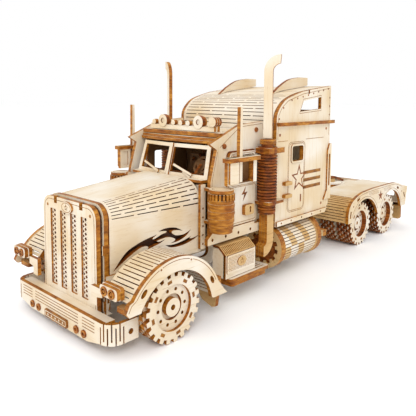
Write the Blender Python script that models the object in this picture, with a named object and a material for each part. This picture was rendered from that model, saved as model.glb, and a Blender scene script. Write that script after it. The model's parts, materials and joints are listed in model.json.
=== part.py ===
"""Laser-cut plywood model of a long-nosed heavy tractor lorry with a sleeper cab.

Sizes are millimetres in the constants and in every outline, and become metres where a
mesh is made.  +Z is up, the nose points along -Y, +X is the driver's side, and z = 0 is
the table.  Every y is counted from the front axle: the empty "truck" moves the pieces so
that the world origin is at the bottom centre of the whole model.
"""
import math

import bmesh
import bpy
from mathutils import Euler, Matrix

MM = 0.001

# Whole model
LENGTH = 231.0
NOSE_Y = -23.3                      # bumper face
TAIL_Y = NOSE_Y + LENGTH
HALF_WIDTH = 36.0
STACK_TOP = 97.5

# Sheet stock and fits
PLY = 1.6
THIN_PLY = 1.0
DOUBLE_PLY = 3.0
GAP = 0.3

# Running gear
WHEEL_RADIUS = 11.75
TREAD_DEPTH = 1.0
TREAD_TEETH = 22
AXLE_RADIUS = 1.5
BORE_RADIUS = AXLE_RADIUS + GAP
FRONT_AXLE_Y = 0.0
MID_AXLE_Y = 144.7
REAR_AXLE_Y = 177.4
FRONT_WHEEL_OUT = 34.4
FRONT_WHEEL_IN = 27.4
DUAL_OUT = 28.7
DUAL_IN = 10.7
DUAL_GROOVE = 1.6
DUAL_CORE_RADIUS = 8.0

# Chassis
RAIL_X = 6.6
RAIL_BOTTOM = 9.0
RAIL_TOP = 22.6
RAIL_FRONT = -12.9
RAIL_REAR = TAIL_Y - PLY - 2 * GAP
FLOOR_HALF = 14.5
FLOOR_Z = RAIL_TOP + GAP + PLY / 2
DECK_HALF = 9.8
DECK_FRONT = 108.3
FIFTH_WHEEL_Y = 160.0
FIFTH_WHEEL_BOTTOM = RAIL_TOP + PLY + 2 * GAP
FIFTH_WHEEL_TOP = 29.6
FIFTH_WHEEL_RADIUS = 9.5
THROAT_HALF = 2.5

# Nose
GRILLE_Y = -17.6
GRILLE_HALF = 16.7
GRILLE_BOTTOM = 8.0
GRILLE_TOP = 45.0
GRILLE_CORNER = 4.0
SLOT_PITCH = 6.53
SLOT_HALF = 1.9
SLOT_BOTTOM = 12.9
SLOT_TOP = 40.6
HOOD_FRONT = -12.7
HOOD_REAR = 26.2
HOOD_BOTTOM = 21.7
BUMPER_PLY = 1.5
BUMPER_BOTTOM = 3.0
BUMPER_TOP = 11.3
BUMPER_HALF = 30.3
BUMPER_CORNER = 5.0
BUMPER_REAR = -12.2
HEADLIGHT_Y = -20.3

# Front wings
ARCH_CENTRE = (0.0, 7.6)
ARCH_INNER = 16.8
ARCH_OUTER = 21.4
WING_TIP_ANGLE = 159.0
WING_SKIN_IN = 21.8
WING_PLATE_X = HALF_WIDTH - PLY / 2

# Cab
CAB_SIDE_X = 24.0
CAB_INSIDE = CAB_SIDE_X - PLY / 2 - GAP
DOOR_X = CAB_SIDE_X + PLY / 2 + GAP + THIN_PLY / 2
WINDSHIELD_CENTRE = (0.0, 31.15, 55.0)
WINDSHIELD_TILT = 15.1
MIRROR_X = 32.0

# Sleeper
SLEEPER_X = 28.0
SLEEPER_INSIDE = SLEEPER_X - PLY / 2 - GAP
SLEEPER_FRONT = 63.5
SLEEPER_REAR = 107.9
SLEEPER_BOTTOM = 25.3
ROOF_LINE = [(63.5, 69.0), (63.8, 73.1), (66.6, 76.9), (71.5, 80.0), (83.2, 83.1), (107.4, 86.1)]

# Exhausts, tanks and filters
STACK_POINT = (29.5, 56.4)
STACK_TURN = 26.5
STACK_HALF = 1.77
STACK_BEND = (5.0, STACK_TOP - 6.77)
TANK_CENTRE = (22.6, 15.4)
TANK_RADIUS = 9.4
TANK_SLAT_RADIUS = 8.6
TANK_FRONT = 64.3
TANK_REAR = 97.2
TANK_FLANGE = 2.2
FILTER_POINT = (30.2, 27.5)

# Rear wings
REAR_WING_X = 30.6
REAR_SKIN_IN = 10.2
REAR_WING_TOP = [
    (125.2, 15.4), (125.2, 20.0), (126.2, 23.4), (128.9, 26.1), (133.9, 28.3), (140.8, 29.9),
    (152.8, 30.5), (179.4, 30.4), (186.7, 29.7), (194.2, 27.5), (203.0, 25.6)]
MID_ARCH = ((144.7, 9.0), 17.0)
REAR_ARCH = ((178.6, 11.0), 15.2)

# Colours: linear RGB
FACE = (0.82, 0.68, 0.47)
SHADED = (0.62, 0.43, 0.22)
BURNT = (0.30, 0.14, 0.05)

SIDES = (("left", 1), ("right", -1))
PLANES = {
    "X": Matrix(((0, 0, 1), (1, 0, 0), (0, 1, 0))),     # outline (y, z), thickness along x
    "Y": Matrix(((1, 0, 0), (0, 0, -1), (0, 1, 0))),    # outline (x, z), thickness along y
    "Z": Matrix.Identity(3),                            # outline (x, y), thickness along z
}


# ---------------------------------------------------------------- helpers

def clear_scene():
    """Empty the scene that Blender starts with."""
    for obj in list(bpy.data.objects):
        bpy.data.objects.remove(obj, do_unlink=True)


def add_empty(name, location, parent=None):
    """A frame to hang pieces on."""
    empty = bpy.data.objects.new(name, None)
    bpy.context.scene.collection.objects.link(empty)
    empty.location = [c * MM for c in location]
    empty.parent = parent
    return empty


def make_wood(name, colour):
    """Matt bare wood of one colour."""
    wood = bpy.data.materials.new(name + "_wood")
    wood.use_nodes = True
    shader = wood.node_tree.nodes["Principled BSDF"]
    shader.inputs["Base Color"].default_value = (*colour, 1.0)
    shader.inputs["Roughness"].default_value = 0.75
    shader.inputs["Metallic"].default_value = 0.0
    return wood


def add_object(name, mesh, colour, parent):
    """Link a mesh to the scene under its parent, with a material of its own."""
    obj = bpy.data.objects.new(name, mesh)
    bpy.context.scene.collection.objects.link(obj)
    mesh.materials.append(make_wood(name, colour))
    obj.parent = parent
    return obj


def arc(centre, radius, start, end, steps=4):
    """Points on an arc, angles in degrees, both ends included."""
    turns = [math.radians(start + (end - start) * i / steps) for i in range(steps + 1)]
    return [(centre[0] + radius * math.cos(a), centre[1] + radius * math.sin(a)) for a in turns]


def rectangle(x0, y0, x1, y1):
    """The four corners of a rectangle."""
    return [(x0, y0), (x1, y0), (x1, y1), (x0, y1)]


def flip(outline, sign):
    """The outline, mirrored for the right side."""
    return [(sign * u, v) for u, v in outline]


def offset_path(points, distance):
    """The path moved sideways, to the left of its direction."""
    moved = []
    for i, (u, v) in enumerate(points):
        before = points[max(i - 1, 0)]
        after = points[min(i + 1, len(points) - 1)]
        du, dv = after[0] - before[0], after[1] - before[1]
        length = math.hypot(du, dv)
        moved.append((u - dv / length * distance, v + du / length * distance))
    return moved


def sheet_mesh(name, outline, holes, thickness):
    """The mesh of a flat sheet: an outline with holes, filled and thickened both ways."""
    curve = bpy.data.curves.new(name, "CURVE")
    curve.dimensions = "2D"
    curve.fill_mode = "BOTH"
    curve.extrude = thickness * MM / 2
    for loop in (outline, *holes):
        spline = curve.splines.new("POLY")
        spline.points.add(len(loop) - 1)
        for point, (u, v) in zip(spline.points, loop):
            point.co = (u * MM, v * MM, 0.0, 1.0)
        spline.use_cyclic_u = True
    pattern = bpy.data.objects.new(name, curve)
    mesh = bpy.data.meshes.new_from_object(pattern)
    bpy.data.objects.remove(pattern)
    bpy.data.curves.remove(curve)
    bm = bmesh.new()
    bm.from_mesh(mesh)
    bmesh.ops.remove_doubles(bm, verts=bm.verts[:], dist=1e-6)
    bmesh.ops.recalc_face_normals(bm, faces=bm.faces[:])
    bm.to_mesh(mesh)
    bm.free()
    return mesh


def add_plate(name, plane, outline, at, parent, thickness=PLY, holes=(), colour=FACE, turn=(0, 0, 0)):
    """A flat sheet lying in a plane, its middle at a point, turned by degrees about X, Y, Z."""
    plate = add_object(name, sheet_mesh(name, outline, holes, thickness), colour, parent)
    spin = Euler([math.radians(a) for a in turn]).to_matrix()
    place = Matrix.Translation([c * MM for c in at])
    plate.matrix_local = place @ (spin @ PLANES[plane]).to_4x4()
    return plate


def add_rings(name, rings, parent, colour=FACE, closed=False):
    """A solid skinned over rings of points; closed joins the last ring to the first."""
    bm = bmesh.new()
    rows = [[bm.verts.new([c * MM for c in point]) for point in ring] for ring in rings]
    pairs = list(zip(rows, rows[1:]))
    if closed:
        pairs.append((rows[-1], rows[0]))
    else:
        bm.faces.new(rows[0])
        bm.faces.new(rows[-1])
    for near, far in pairs:
        for i in range(len(near)):
            bm.faces.new((near[i - 1], near[i], far[i], far[i - 1]))
    bmesh.ops.recalc_face_normals(bm, faces=bm.faces[:])
    mesh = bpy.data.meshes.new(name)
    bm.to_mesh(mesh)
    bm.free()
    return add_object(name, mesh, colour, parent)


def join(base, *extras):
    """Fuse further shapes into the base piece; they stay as hidden tools."""
    for extra in extras:
        union = base.modifiers.new("join_" + extra.name, "BOOLEAN")
        union.operation = "UNION"
        union.solver = "MANIFOLD"
        union.object = extra
        extra.hide_render = True
        extra.display_type = "WIRE"
    return base


def circle_x(x, radius, count):
    """A ring of points round the X axis."""
    turns = [2 * math.pi * i / count for i in range(count)]
    return [(x, radius * math.cos(a), radius * math.sin(a)) for a in turns]


def circle_y(centre, y, radius, count=24):
    """A ring of points round a line along Y."""
    turns = [2 * math.pi * i / count for i in range(count)]
    return [(centre[0] + radius * math.cos(a), y, centre[1] + radius * math.sin(a)) for a in turns]


def circle_z(point, z, radius, count=20):
    """A ring of points round an upright line."""
    turns = [2 * math.pi * i / count for i in range(count)]
    return [(point[0] + radius * math.cos(a), point[1] + radius * math.sin(a), z) for a in turns]


def tread_ring(x):
    """A toothed ring round the X axis."""
    points = []
    pitch = 2 * math.pi / TREAD_TEETH
    for tooth in range(TREAD_TEETH):
        for share, depth in ((0.0, TREAD_DEPTH), (0.42, TREAD_DEPTH), (0.5, 0.0), (0.92, 0.0)):
            angle = pitch * (tooth + share)
            radius = WHEEL_RADIUS - depth
            points.append((x, radius * math.cos(angle), radius * math.sin(angle)))
    return points


# ---------------------------------------------------------------- chassis

def build_chassis(truck):
    """Two rails, the floor, the rear deck, the fifth wheel and the tail board."""
    axle_holes = [arc((y, WHEEL_RADIUS), BORE_RADIUS, 0, 340, 17)
                  for y in (FRONT_AXLE_Y, MID_AXLE_Y, REAR_AXLE_Y)]
    rail = rectangle(RAIL_FRONT, RAIL_BOTTOM, RAIL_REAR, RAIL_TOP)
    for side, sign in SIDES:
        add_plate("rail_" + side, "X", rail, (sign * RAIL_X, 0, 0), truck,
                  holes=axle_holes, colour=SHADED)
    add_plate("floor_board", "Z", rectangle(-FLOOR_HALF, -12.0, FLOOR_HALF, 107.0),
              (0, 0, FLOOR_Z), truck, colour=SHADED)
    add_plate("rear_deck", "Z", rectangle(-DECK_HALF, DECK_FRONT, DECK_HALF, RAIL_REAR),
              (0, 0, FLOOR_Z), truck)
    add_plate("tail_board", "Y", rectangle(-27.5, 14.0, 27.5, 25.0),
              (0, TAIL_Y - PLY / 2, 0), truck)
    build_fifth_wheel(truck)


def build_fifth_wheel(truck):
    """The coupling plate: a disc with a tapered throat open to the rear."""
    y, r = FIFTH_WHEEL_Y, FIFTH_WHEEL_RADIUS
    t = THROAT_HALF
    outline = arc((0, y), r, 115, 425, 24) + [(t, y + 5.0), (t, y), (-t, y), (-t, y + 5.0)]
    add_plate("fifth_wheel", "Z", outline, (0, 0, (FIFTH_WHEEL_TOP + FIFTH_WHEEL_BOTTOM) / 2),
              truck, thickness=FIFTH_WHEEL_TOP - FIFTH_WHEEL_BOTTOM)


# ---------------------------------------------------------------- nose

def hood_ring(y, half, top, shoulder):
    """The bonnet's cross-section: an upside-down U one sheet thick."""
    outer, inner = [], []
    for path, skin in ((outer, 0.0), (inner, PLY)):
        centre = (half - shoulder, top - shoulder)
        right = arc(centre, shoulder - skin, 0, 90)
        path.append((half - skin, HOOD_BOTTOM))
        path.extend(right)
        path.extend(flip(reversed(right), -1))
        path.append((skin - half, HOOD_BOTTOM))
    return [(x, y, z) for x, z in outer + inner[::-1]]


def build_grille(truck):
    """The slotted radiator frame and the lattice sheet behind it."""
    half, corner = GRILLE_HALF, GRILLE_CORNER
    top = arc((half - corner, GRILLE_TOP - corner), corner, 0, 90)
    outline = [(-half, GRILLE_BOTTOM), (half, GRILLE_BOTTOM), *top, *flip(reversed(top), -1)]
    centres = [(i - 1.5) * SLOT_PITCH for i in range(4)]
    slots = [rectangle(x - SLOT_HALF, SLOT_BOTTOM, x + SLOT_HALF, SLOT_TOP) for x in centres]
    add_plate("grille_frame", "Y", outline, (0, GRILLE_Y + PLY / 2, 0), truck, holes=slots)
    lattice_y = GRILLE_Y + PLY + GAP + THIN_PLY / 2
    add_plate("grille_lattice", "Y", outline, (0, lattice_y, 0), truck,
              thickness=THIN_PLY, colour=BURNT)


def build_bumper(truck):
    """The bent bumper strip and the shelf that closes it against the grille."""
    half, r, nose = BUMPER_HALF, BUMPER_CORNER, NOSE_Y
    outer = arc((half - r, nose + r), r, 0, -90)
    inner = arc((half - r, nose + r), r - BUMPER_PLY, 0, -90)
    outer_path = [(half, BUMPER_REAR), *outer, *flip(reversed(outer), -1), (-half, BUMPER_REAR)]
    inner_end = half - BUMPER_PLY
    inner_path = [(inner_end, BUMPER_REAR), *inner, *flip(reversed(inner), -1),
                  (-inner_end, BUMPER_REAR)]
    add_plate("bumper", "Z", outer_path + inner_path[::-1],
              (0, 0, (BUMPER_BOTTOM + BUMPER_TOP) / 2), truck, thickness=BUMPER_TOP - BUMPER_BOTTOM)
    front = nose + BUMPER_PLY + GAP
    add_plate("bumper_shelf", "Z", rectangle(-25.0, front, 25.0, GRILLE_Y - GAP),
              (0, 0, BUMPER_TOP - PLY), truck, colour=SHADED)


def build_nose(truck):
    """Bonnet, grille, bumper and the twin-lamp headlight blocks."""
    front = hood_ring(HOOD_FRONT, 17.0, 45.2, 5.6)
    rear = hood_ring(HOOD_REAR, 21.0, 49.2, 9.7)
    add_rings("hood", [front, rear], truck)
    build_grille(truck)
    build_bumper(truck)
    block = [(17.3, 14.5), (20.5, 14.5), (20.5, 18.0), (33.0, 18.4), (33.0, 23.3), (24.2, 23.3),
             (24.2, 20.6), (17.3, 20.6)]
    for side, sign in SIDES:
        add_plate("headlight_" + side, "Y", flip(block, sign), (0, HEADLIGHT_Y, 0), truck,
                  thickness=DOUBLE_PLY)


def build_front_wings(truck):
    """Per side: the flat arch plate, the bent ribbed skin and the mud flap."""
    plate = arc(ARCH_CENTRE, ARCH_OUTER, WING_TIP_ANGLE, 22, 14)
    plate += [(24.6, 10.4), (17.5, 10.4)]
    plate += arc(ARCH_CENTRE, ARCH_INNER, 9.6, WING_TIP_ANGLE - 4, 14)
    skin = arc(ARCH_CENTRE, ARCH_OUTER - GAP, WING_TIP_ANGLE, 12, 12)
    skin += arc(ARCH_CENTRE, ARCH_OUTER - GAP - PLY, 12, WING_TIP_ANGLE, 12)
    skin_out = WING_PLATE_X - PLY / 2 - GAP
    for side, sign in SIDES:
        add_plate("wing_plate_" + side, "X", plate, (sign * WING_PLATE_X, 0, 0), truck)
        add_plate("wing_skin_" + side, "X", skin, (sign * (skin_out + WING_SKIN_IN) / 2, 0, 0),
                  truck, thickness=skin_out - WING_SKIN_IN, colour=SHADED)
        flap = flip(rectangle(22.0, 4.1, 34.1, 16.0), sign)
        add_plate("mud_flap_" + side, "Y", flap, (0, 22.6, 0), truck, colour=SHADED)


# ---------------------------------------------------------------- cab

def build_cab(truck):
    """Side panels, doors, windscreen, dashboard, steering wheel, visor and roof."""
    panel = [(27.4, 25.0), (61.2, 25.0), (61.2, 64.3), (59.2, 70.4), (44.0, 69.5), (27.0, 62.8),
             (30.8, 60.5), (27.4, 48.5)]
    window = rectangle(38.5, 46.5, 52.2, 57.8)
    door = rectangle(36.7, 30.0, 54.0, 59.0)
    for side, sign in SIDES:
        add_plate("cab_side_" + side, "X", panel, (sign * CAB_SIDE_X, 0, 0), truck, holes=[window])
        add_plate("door_" + side, "X", door, (sign * DOOR_X, 0, 0), truck,
                  thickness=THIN_PLY, holes=[window])
    panes = [flip(rectangle(1.5, -4.8, 18.0, 5.0), sign) for _, sign in SIDES]
    add_plate("windscreen_frame", "Y", rectangle(-20.5, -6.8, 20.5, 6.8), WINDSHIELD_CENTRE, truck,
              thickness=THIN_PLY, holes=panes, turn=(-WINDSHIELD_TILT, 0, 0))
    inside = CAB_INSIDE
    dashboard = add_plate("dashboard", "Y", rectangle(-inside, 40.0, inside, 49.5), (0, 34.0, 0),
                          truck, colour=SHADED)
    column = [(34.0, 48.0), (36.0, 48.0), (39.4, 52.0), (38.2, 53.4), (34.0, 49.0)]
    wheel = add_plate("steering_wheel", "Y", arc((0, 0), 4.2, 0, 345, 23), (9.5, 38.6, 52.3), truck,
                      thickness=THIN_PLY, turn=(-30, 0, 0))
    join(dashboard, add_plate("steering_column", "X", column, (9.5, 0, 0), truck), wheel)
    add_plate("visor", "Z", rectangle(-inside, 31.6, inside, 37.0), (0, 0, 63.35), truck,
              thickness=2.3, colour=BURNT)
    add_plate("cab_roof", "Z", rectangle(-inside, 34.5, inside, 60.5), (0, 0, 65.6), truck)
    build_roof_lamps(truck)
    build_mirrors(truck)


def build_roof_lamps(truck):
    """The bar across the roof with two round lamps rising from it."""
    lamp = arc((10.6, 70.3), 2.7, -28, 208, 12)
    bar = [(-20.0, 66.8), (20.0, 66.8), (20.0, 69.0), *lamp, *flip(reversed(lamp), -1), (-20.0, 69.0)]
    add_plate("roof_lamps", "Y", bar, (0, 36.5, 0), truck, thickness=DOUBLE_PLY)


def build_mirrors(truck):
    """Per side: the mirror board with its top bar, the aerial rod and the arm to the door."""
    board = [(27.9, 48.0), (33.5, 48.0), (33.5, 56.6), (34.7, 56.6), (34.7, 48.7), (36.3, 48.7),
             (36.3, 56.6), (43.0, 56.6), (43.0, 48.0), (45.0, 48.0), (45.0, 58.2), (36.3, 58.2),
             (36.3, 76.7), (34.7, 76.7), (34.7, 58.2), (27.5, 58.2), (27.5, 56.6), (27.9, 56.6)]
    reach = DOOR_X + THIN_PLY / 2 + GAP
    for side, sign in SIDES:
        mirror = add_plate("mirror_" + side, "X", board, (sign * MIRROR_X, 0, 0), truck)
        arm = flip(rectangle(reach, 38.2, MIRROR_X, 41.4), sign)
        join(mirror, add_plate("mirror_arm_" + side, "Z", arm, (0, 0, 57.4), truck,
                               thickness=THIN_PLY))


# ---------------------------------------------------------------- sleeper

def build_sleeper(truck):
    """The sleeper box: two sides, front and back walls, the bent roof and two fins."""
    side_outline = [(SLEEPER_FRONT, SLEEPER_BOTTOM), (104.2, SLEEPER_BOTTOM), (SLEEPER_REAR, 29.0),
                    (SLEEPER_REAR, 86.2), *ROOF_LINE[::-1]]
    window = rectangle(75.3, 52.5, 84.0, 59.2)
    skylight = [(81.0, 74.2), (99.0, 75.3), (99.0, 80.8), (84.1, 79.0)]
    fin = [(77.0, 81.9), (83.2, 83.5), (106.0, 86.4), (106.0, 90.2), (99.0, 90.2), (90.0, 88.8),
           (82.0, 85.2)]
    for side, sign in SIDES:
        add_plate("sleeper_side_" + side, "X", side_outline, (sign * SLEEPER_X, 0, 0), truck,
                  holes=[window, skylight])
        add_plate("roof_fin_" + side, "X", fin, (sign * 16.0, 0, 0), truck)
    inside = SLEEPER_INSIDE
    roof = ROOF_LINE + offset_path(ROOF_LINE, -PLY)[::-1]
    add_plate("sleeper_roof", "X", roof, (0, 0, 0), truck, thickness=2 * inside)
    add_plate("sleeper_front", "Y", rectangle(-inside, 25.6, inside, 68.6),
              (0, SLEEPER_FRONT + PLY / 2, 0), truck, holes=[rectangle(-12.0, 42.0, 12.0, 60.0)],
              colour=SHADED)
    lights = [flip(rectangle(10.0, 74.5, 24.5, 81.2), sign) for _, sign in SIDES]
    add_plate("sleeper_back", "Y", rectangle(-inside, 25.6, inside, 83.6),
              (0, SLEEPER_REAR - 1.2, 0), truck, holes=lights)


# ---------------------------------------------------------------- side fittings

def build_exhausts(truck):
    """Per side: the flat curved stack and the ringed silencer with its elbow."""
    bend_u = STACK_BEND[0]
    outline = [(-STACK_HALF, 63.9), (STACK_HALF, 63.9)]
    outline += arc(STACK_BEND, bend_u - STACK_HALF, 180, 95, 5)
    outline += arc(STACK_BEND, bend_u + STACK_HALF, 90, 180, 7)
    bands = [(63.5, 3.4), (61.6, 3.4), (61.5, 3.0), (60.5, 3.0), (60.4, 3.8), (57.5, 3.8), (57.4, 3.45),
             (38.4, 3.45), (38.3, 3.8), (36.8, 3.8), (36.7, 3.3), (32.7, 3.3), (32.6, 1.9), (23.0, 1.9)]
    for side, sign in SIDES:
        x, y = sign * STACK_POINT[0], STACK_POINT[1]
        add_plate("stack_" + side, "Y", flip(outline, sign), (x, y, 0), truck,
                  turn=(0, 0, sign * STACK_TURN))
        rings = [circle_z((x, y), z, radius, 16) for z, radius in bands]
        add_rings("silencer_" + side, rings + elbow_rings(x, y), truck, colour=BURNT)


def elbow_rings(x, y):
    """Rings that carry the tail of the silencer down and forward in a quarter turn."""
    rings = []
    for step in range(1, 5):
        angle = math.radians(22.5 * step)
        back, down = 5.0 * (1 - math.cos(angle)), 5.0 * math.sin(angle)
        ring = circle_z((0.0, 0.0), 0.0, 1.9, 16)
        rings.append([(x + u, y - back + v * math.cos(angle), 23.0 - down - v * math.sin(angle))
                      for u, v, _ in ring])
    return rings


def build_side_fittings(truck):
    """Per side: fuel tank, air filter, and the toolbox over its step."""
    box = [(24.3, 12.4), (24.3, 10.5), (31.6, 10.5), (31.6, 12.1), (31.0, 12.1), (31.0, 21.2),
           (27.4, 24.2), (24.3, 24.2)]
    for side, sign in SIDES:
        centre = (sign * TANK_CENTRE[0], TANK_CENTRE[1])
        flange_end, flange_start = TANK_FRONT + TANK_FLANGE, TANK_REAR - TANK_FLANGE
        stations = [(TANK_FRONT, TANK_RADIUS), (flange_end, TANK_RADIUS),
                    (flange_end + 0.1, TANK_SLAT_RADIUS), (flange_start - 0.1, TANK_SLAT_RADIUS),
                    (flange_start, TANK_RADIUS), (TANK_REAR, TANK_RADIUS)]
        add_rings("fuel_tank_" + side, [circle_y(centre, y, r) for y, r in stations], truck)
        point = (sign * FILTER_POINT[0], FILTER_POINT[1])
        levels = [(30.8, 4.2), (32.3, 4.2), (32.4, 5.0), (45.0, 5.0), (45.1, 4.2), (47.0, 4.2)]
        add_rings("air_filter_" + side, [circle_z(point, z, r) for z, r in levels], truck,
                  colour=SHADED)
        add_plate("toolbox_" + side, "Y", flip(box, sign), (0, 38.3, 0), truck, thickness=17.8)


def build_rear_wings(truck):
    """Per side: the long plate with two arches and the bent skin over the tandem wheels."""
    foot = [(200.5, 14.2)]
    outline = REAR_WING_TOP + foot + arc(*REAR_ARCH, 12.2, 163.2, 10) + arc(*MID_ARCH, 22.1, 157.9, 10)
    top = offset_path(REAR_WING_TOP[:-1] + [(199.0, 26.3)], -0.6)
    skin = top + offset_path(top, -PLY)[::-1]
    skin_out = REAR_WING_X - PLY / 2 - GAP
    for side, sign in SIDES:
        add_plate("rear_wing_plate_" + side, "X", outline, (sign * REAR_WING_X, 0, 0), truck)
        add_plate("rear_wing_skin_" + side, "X", skin, (sign * (skin_out + REAR_SKIN_IN) / 2, 0, 0),
                  truck, thickness=skin_out - REAR_SKIN_IN, colour=SHADED)


# ---------------------------------------------------------------- running gear

def add_axle(name, axle_y, half, truck):
    """A dowel on its own pivot; returns the pivot, which the wheels share."""
    pivot = add_empty(name + "_pivot", (0, axle_y, WHEEL_RADIUS), truck)
    add_rings(name, [circle_x(x, AXLE_RADIUS, 16) for x in (-half, half)], pivot, colour=SHADED)
    return pivot


def build_running_gear(truck):
    """The single front wheels and the four dual rear wheels on their dowels."""
    pivot = add_axle("front_axle", FRONT_AXLE_Y, FRONT_WHEEL_OUT - GAP, truck)
    count = 4 * TREAD_TEETH
    for side, sign in SIDES:
        out, inner = sign * FRONT_WHEEL_OUT, sign * FRONT_WHEEL_IN
        rings = [circle_x(inner, BORE_RADIUS, count), tread_ring(inner), tread_ring(out),
                 circle_x(out, BORE_RADIUS, count)]
        add_rings("front_wheel_" + side, rings, pivot, closed=True)
    middle = (DUAL_OUT + DUAL_IN) / 2
    for name, axle_y in (("mid", MID_AXLE_Y), ("rear", REAR_AXLE_Y)):
        pivot = add_axle(name + "_axle", axle_y, DUAL_OUT - GAP, truck)
        for side, sign in SIDES:
            groove_in = sign * (middle - DUAL_GROOVE / 2)
            groove_out = sign * (middle + DUAL_GROOVE / 2)
            out, inner = sign * DUAL_OUT, sign * DUAL_IN
            rings = [circle_x(inner, BORE_RADIUS, count), tread_ring(inner), tread_ring(groove_in),
                     circle_x(groove_in, DUAL_CORE_RADIUS, count),
                     circle_x(groove_out, DUAL_CORE_RADIUS, count), tread_ring(groove_out),
                     tread_ring(out), circle_x(out, BORE_RADIUS, count)]
            add_rings(name + "_wheel_" + side, rings, pivot, closed=True)


def build_truck():
    """The whole model."""
    clear_scene()
    truck = add_empty("truck", (0, -(NOSE_Y + TAIL_Y) / 2, 0))
    build_chassis(truck)
    build_nose(truck)
    build_front_wings(truck)
    build_cab(truck)
    build_sleeper(truck)
    build_exhausts(truck)
    build_side_fittings(truck)
    build_rear_wings(truck)
    build_running_gear(truck)


build_truck()
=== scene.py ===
"""Looks of a laser-cut plywood tractor lorry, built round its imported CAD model.

Sizes are millimetres and every y is counted from the front axle; publish() turns them into
the frame's metres.  A board has two finishes: its pale face and its laser-browned edge.
Pieces that come in pairs are made on the left (+X) and mirrored.
"""
import json
import math

import bmesh
import bpy
from mathutils import Euler, Matrix, Vector


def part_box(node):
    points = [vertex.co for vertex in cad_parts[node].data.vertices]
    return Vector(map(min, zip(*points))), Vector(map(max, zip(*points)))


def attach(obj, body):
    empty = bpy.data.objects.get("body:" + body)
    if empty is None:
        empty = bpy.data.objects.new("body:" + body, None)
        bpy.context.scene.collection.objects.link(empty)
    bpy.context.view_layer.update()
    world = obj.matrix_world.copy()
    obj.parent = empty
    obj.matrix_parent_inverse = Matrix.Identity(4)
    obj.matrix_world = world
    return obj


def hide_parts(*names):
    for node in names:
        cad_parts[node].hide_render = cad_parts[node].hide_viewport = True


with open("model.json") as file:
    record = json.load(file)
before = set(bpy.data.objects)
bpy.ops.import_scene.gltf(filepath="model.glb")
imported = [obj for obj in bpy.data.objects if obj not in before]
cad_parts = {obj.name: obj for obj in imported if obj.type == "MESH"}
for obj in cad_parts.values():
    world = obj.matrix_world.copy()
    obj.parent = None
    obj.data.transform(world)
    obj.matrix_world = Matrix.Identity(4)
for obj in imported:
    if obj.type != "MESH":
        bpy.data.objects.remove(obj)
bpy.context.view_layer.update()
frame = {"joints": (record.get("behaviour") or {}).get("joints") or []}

MM = 0.001
PLY = 1.6                     # main sheet
THIN = 0.8                    # trim sheet
ETCH = 0.06                   # how thick an engraved line's inlay is
SLIT = 0.28                   # laser kerf
LINE = 0.22                   # width of an engraved line
HINGE = 0.36                  # slot of a living hinge
AXLES = {joint["child"]: Vector(joint["pos_m"]) / MM for joint in frame["joints"]}
FRONT_AXLE = AXLES["front_axle_set"].y
ORIGIN = Matrix.Translation((0, FRONT_AXLE * MM, 0)) @ Matrix.Scale(MM, 4)
PLANES = {
    "X": Matrix(((0, 0, 1), (1, 0, 0), (0, 1, 0))),     # outline (y, z), thickness along x
    "Y": Matrix(((1, 0, 0), (0, 0, -1), (0, 1, 0))),    # outline (x, z), thickness along y
    "Z": Matrix.Identity(3),                            # outline (x, y), thickness along z
}


def span(node):
    """A CAD node's lowest and highest corner in mm, y counted from the front axle."""
    shift = Vector((0, FRONT_AXLE, 0))
    return [Vector(corner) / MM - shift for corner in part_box(node)]


# ---------------------------------------------------------------- materials

def linear(hex_colour):
    """sRGB hex to linear RGBA."""
    parts = [int(hex_colour[i:i + 2], 16) / 255 for i in (1, 3, 5)]
    return (*[c / 12.92 if c <= 0.04045 else ((c + 0.055) / 1.055) ** 2.4 for c in parts], 1.0)


def node(tree, kind, links=(), inputs=(), **settings):
    """Add a node with its settings, its input values and its links (socket, source node, output)."""
    made = tree.nodes.new(kind)
    for name, value in settings.items():
        setattr(made, name, value)
    for socket, value in inputs:
        made.inputs[socket].default_value = value
    for socket, source, output in links:
        tree.links.new(source.outputs[output], made.inputs[socket])
    return made


def ramp(tree, source, output, stops):
    """A colour ramp over a value, from (position, hex colour) stops."""
    made = node(tree, "ShaderNodeValToRGB", [("Fac", source, output)])
    elements = made.color_ramp.elements
    while len(elements) < len(stops):
        elements.new(0.5)
    for element, (position, colour) in zip(elements, stops):
        element.position = position
        element.color = linear(colour)
    return made


def blend(tree, factor, first, second, mode="MIX"):
    """Mix two colours; factor is a number or a (node, output) pair."""
    made = node(tree, "ShaderNodeMix", data_type="RGBA", blend_type=mode)
    tree.links.new(first[0].outputs[first[1]], made.inputs[6])
    tree.links.new(second[0].outputs[second[1]], made.inputs[7])
    if isinstance(factor, tuple):
        tree.links.new(factor[0].outputs[factor[1]], made.inputs[0])
    else:
        made.inputs[0].default_value = factor
    return made


def start_material(name, roughness):
    """A Principled material with bare wood's IOR; returns it, its tree and its shader."""
    material = bpy.data.materials.new(name)
    material.use_nodes = True
    shader = material.node_tree.nodes["Principled BSDF"]
    shader.inputs["Roughness"].default_value = roughness
    shader.inputs["IOR"].default_value = 1.45
    shader.inputs["Specular IOR Level"].default_value = 0.3
    return material, material.node_tree, shader


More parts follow.
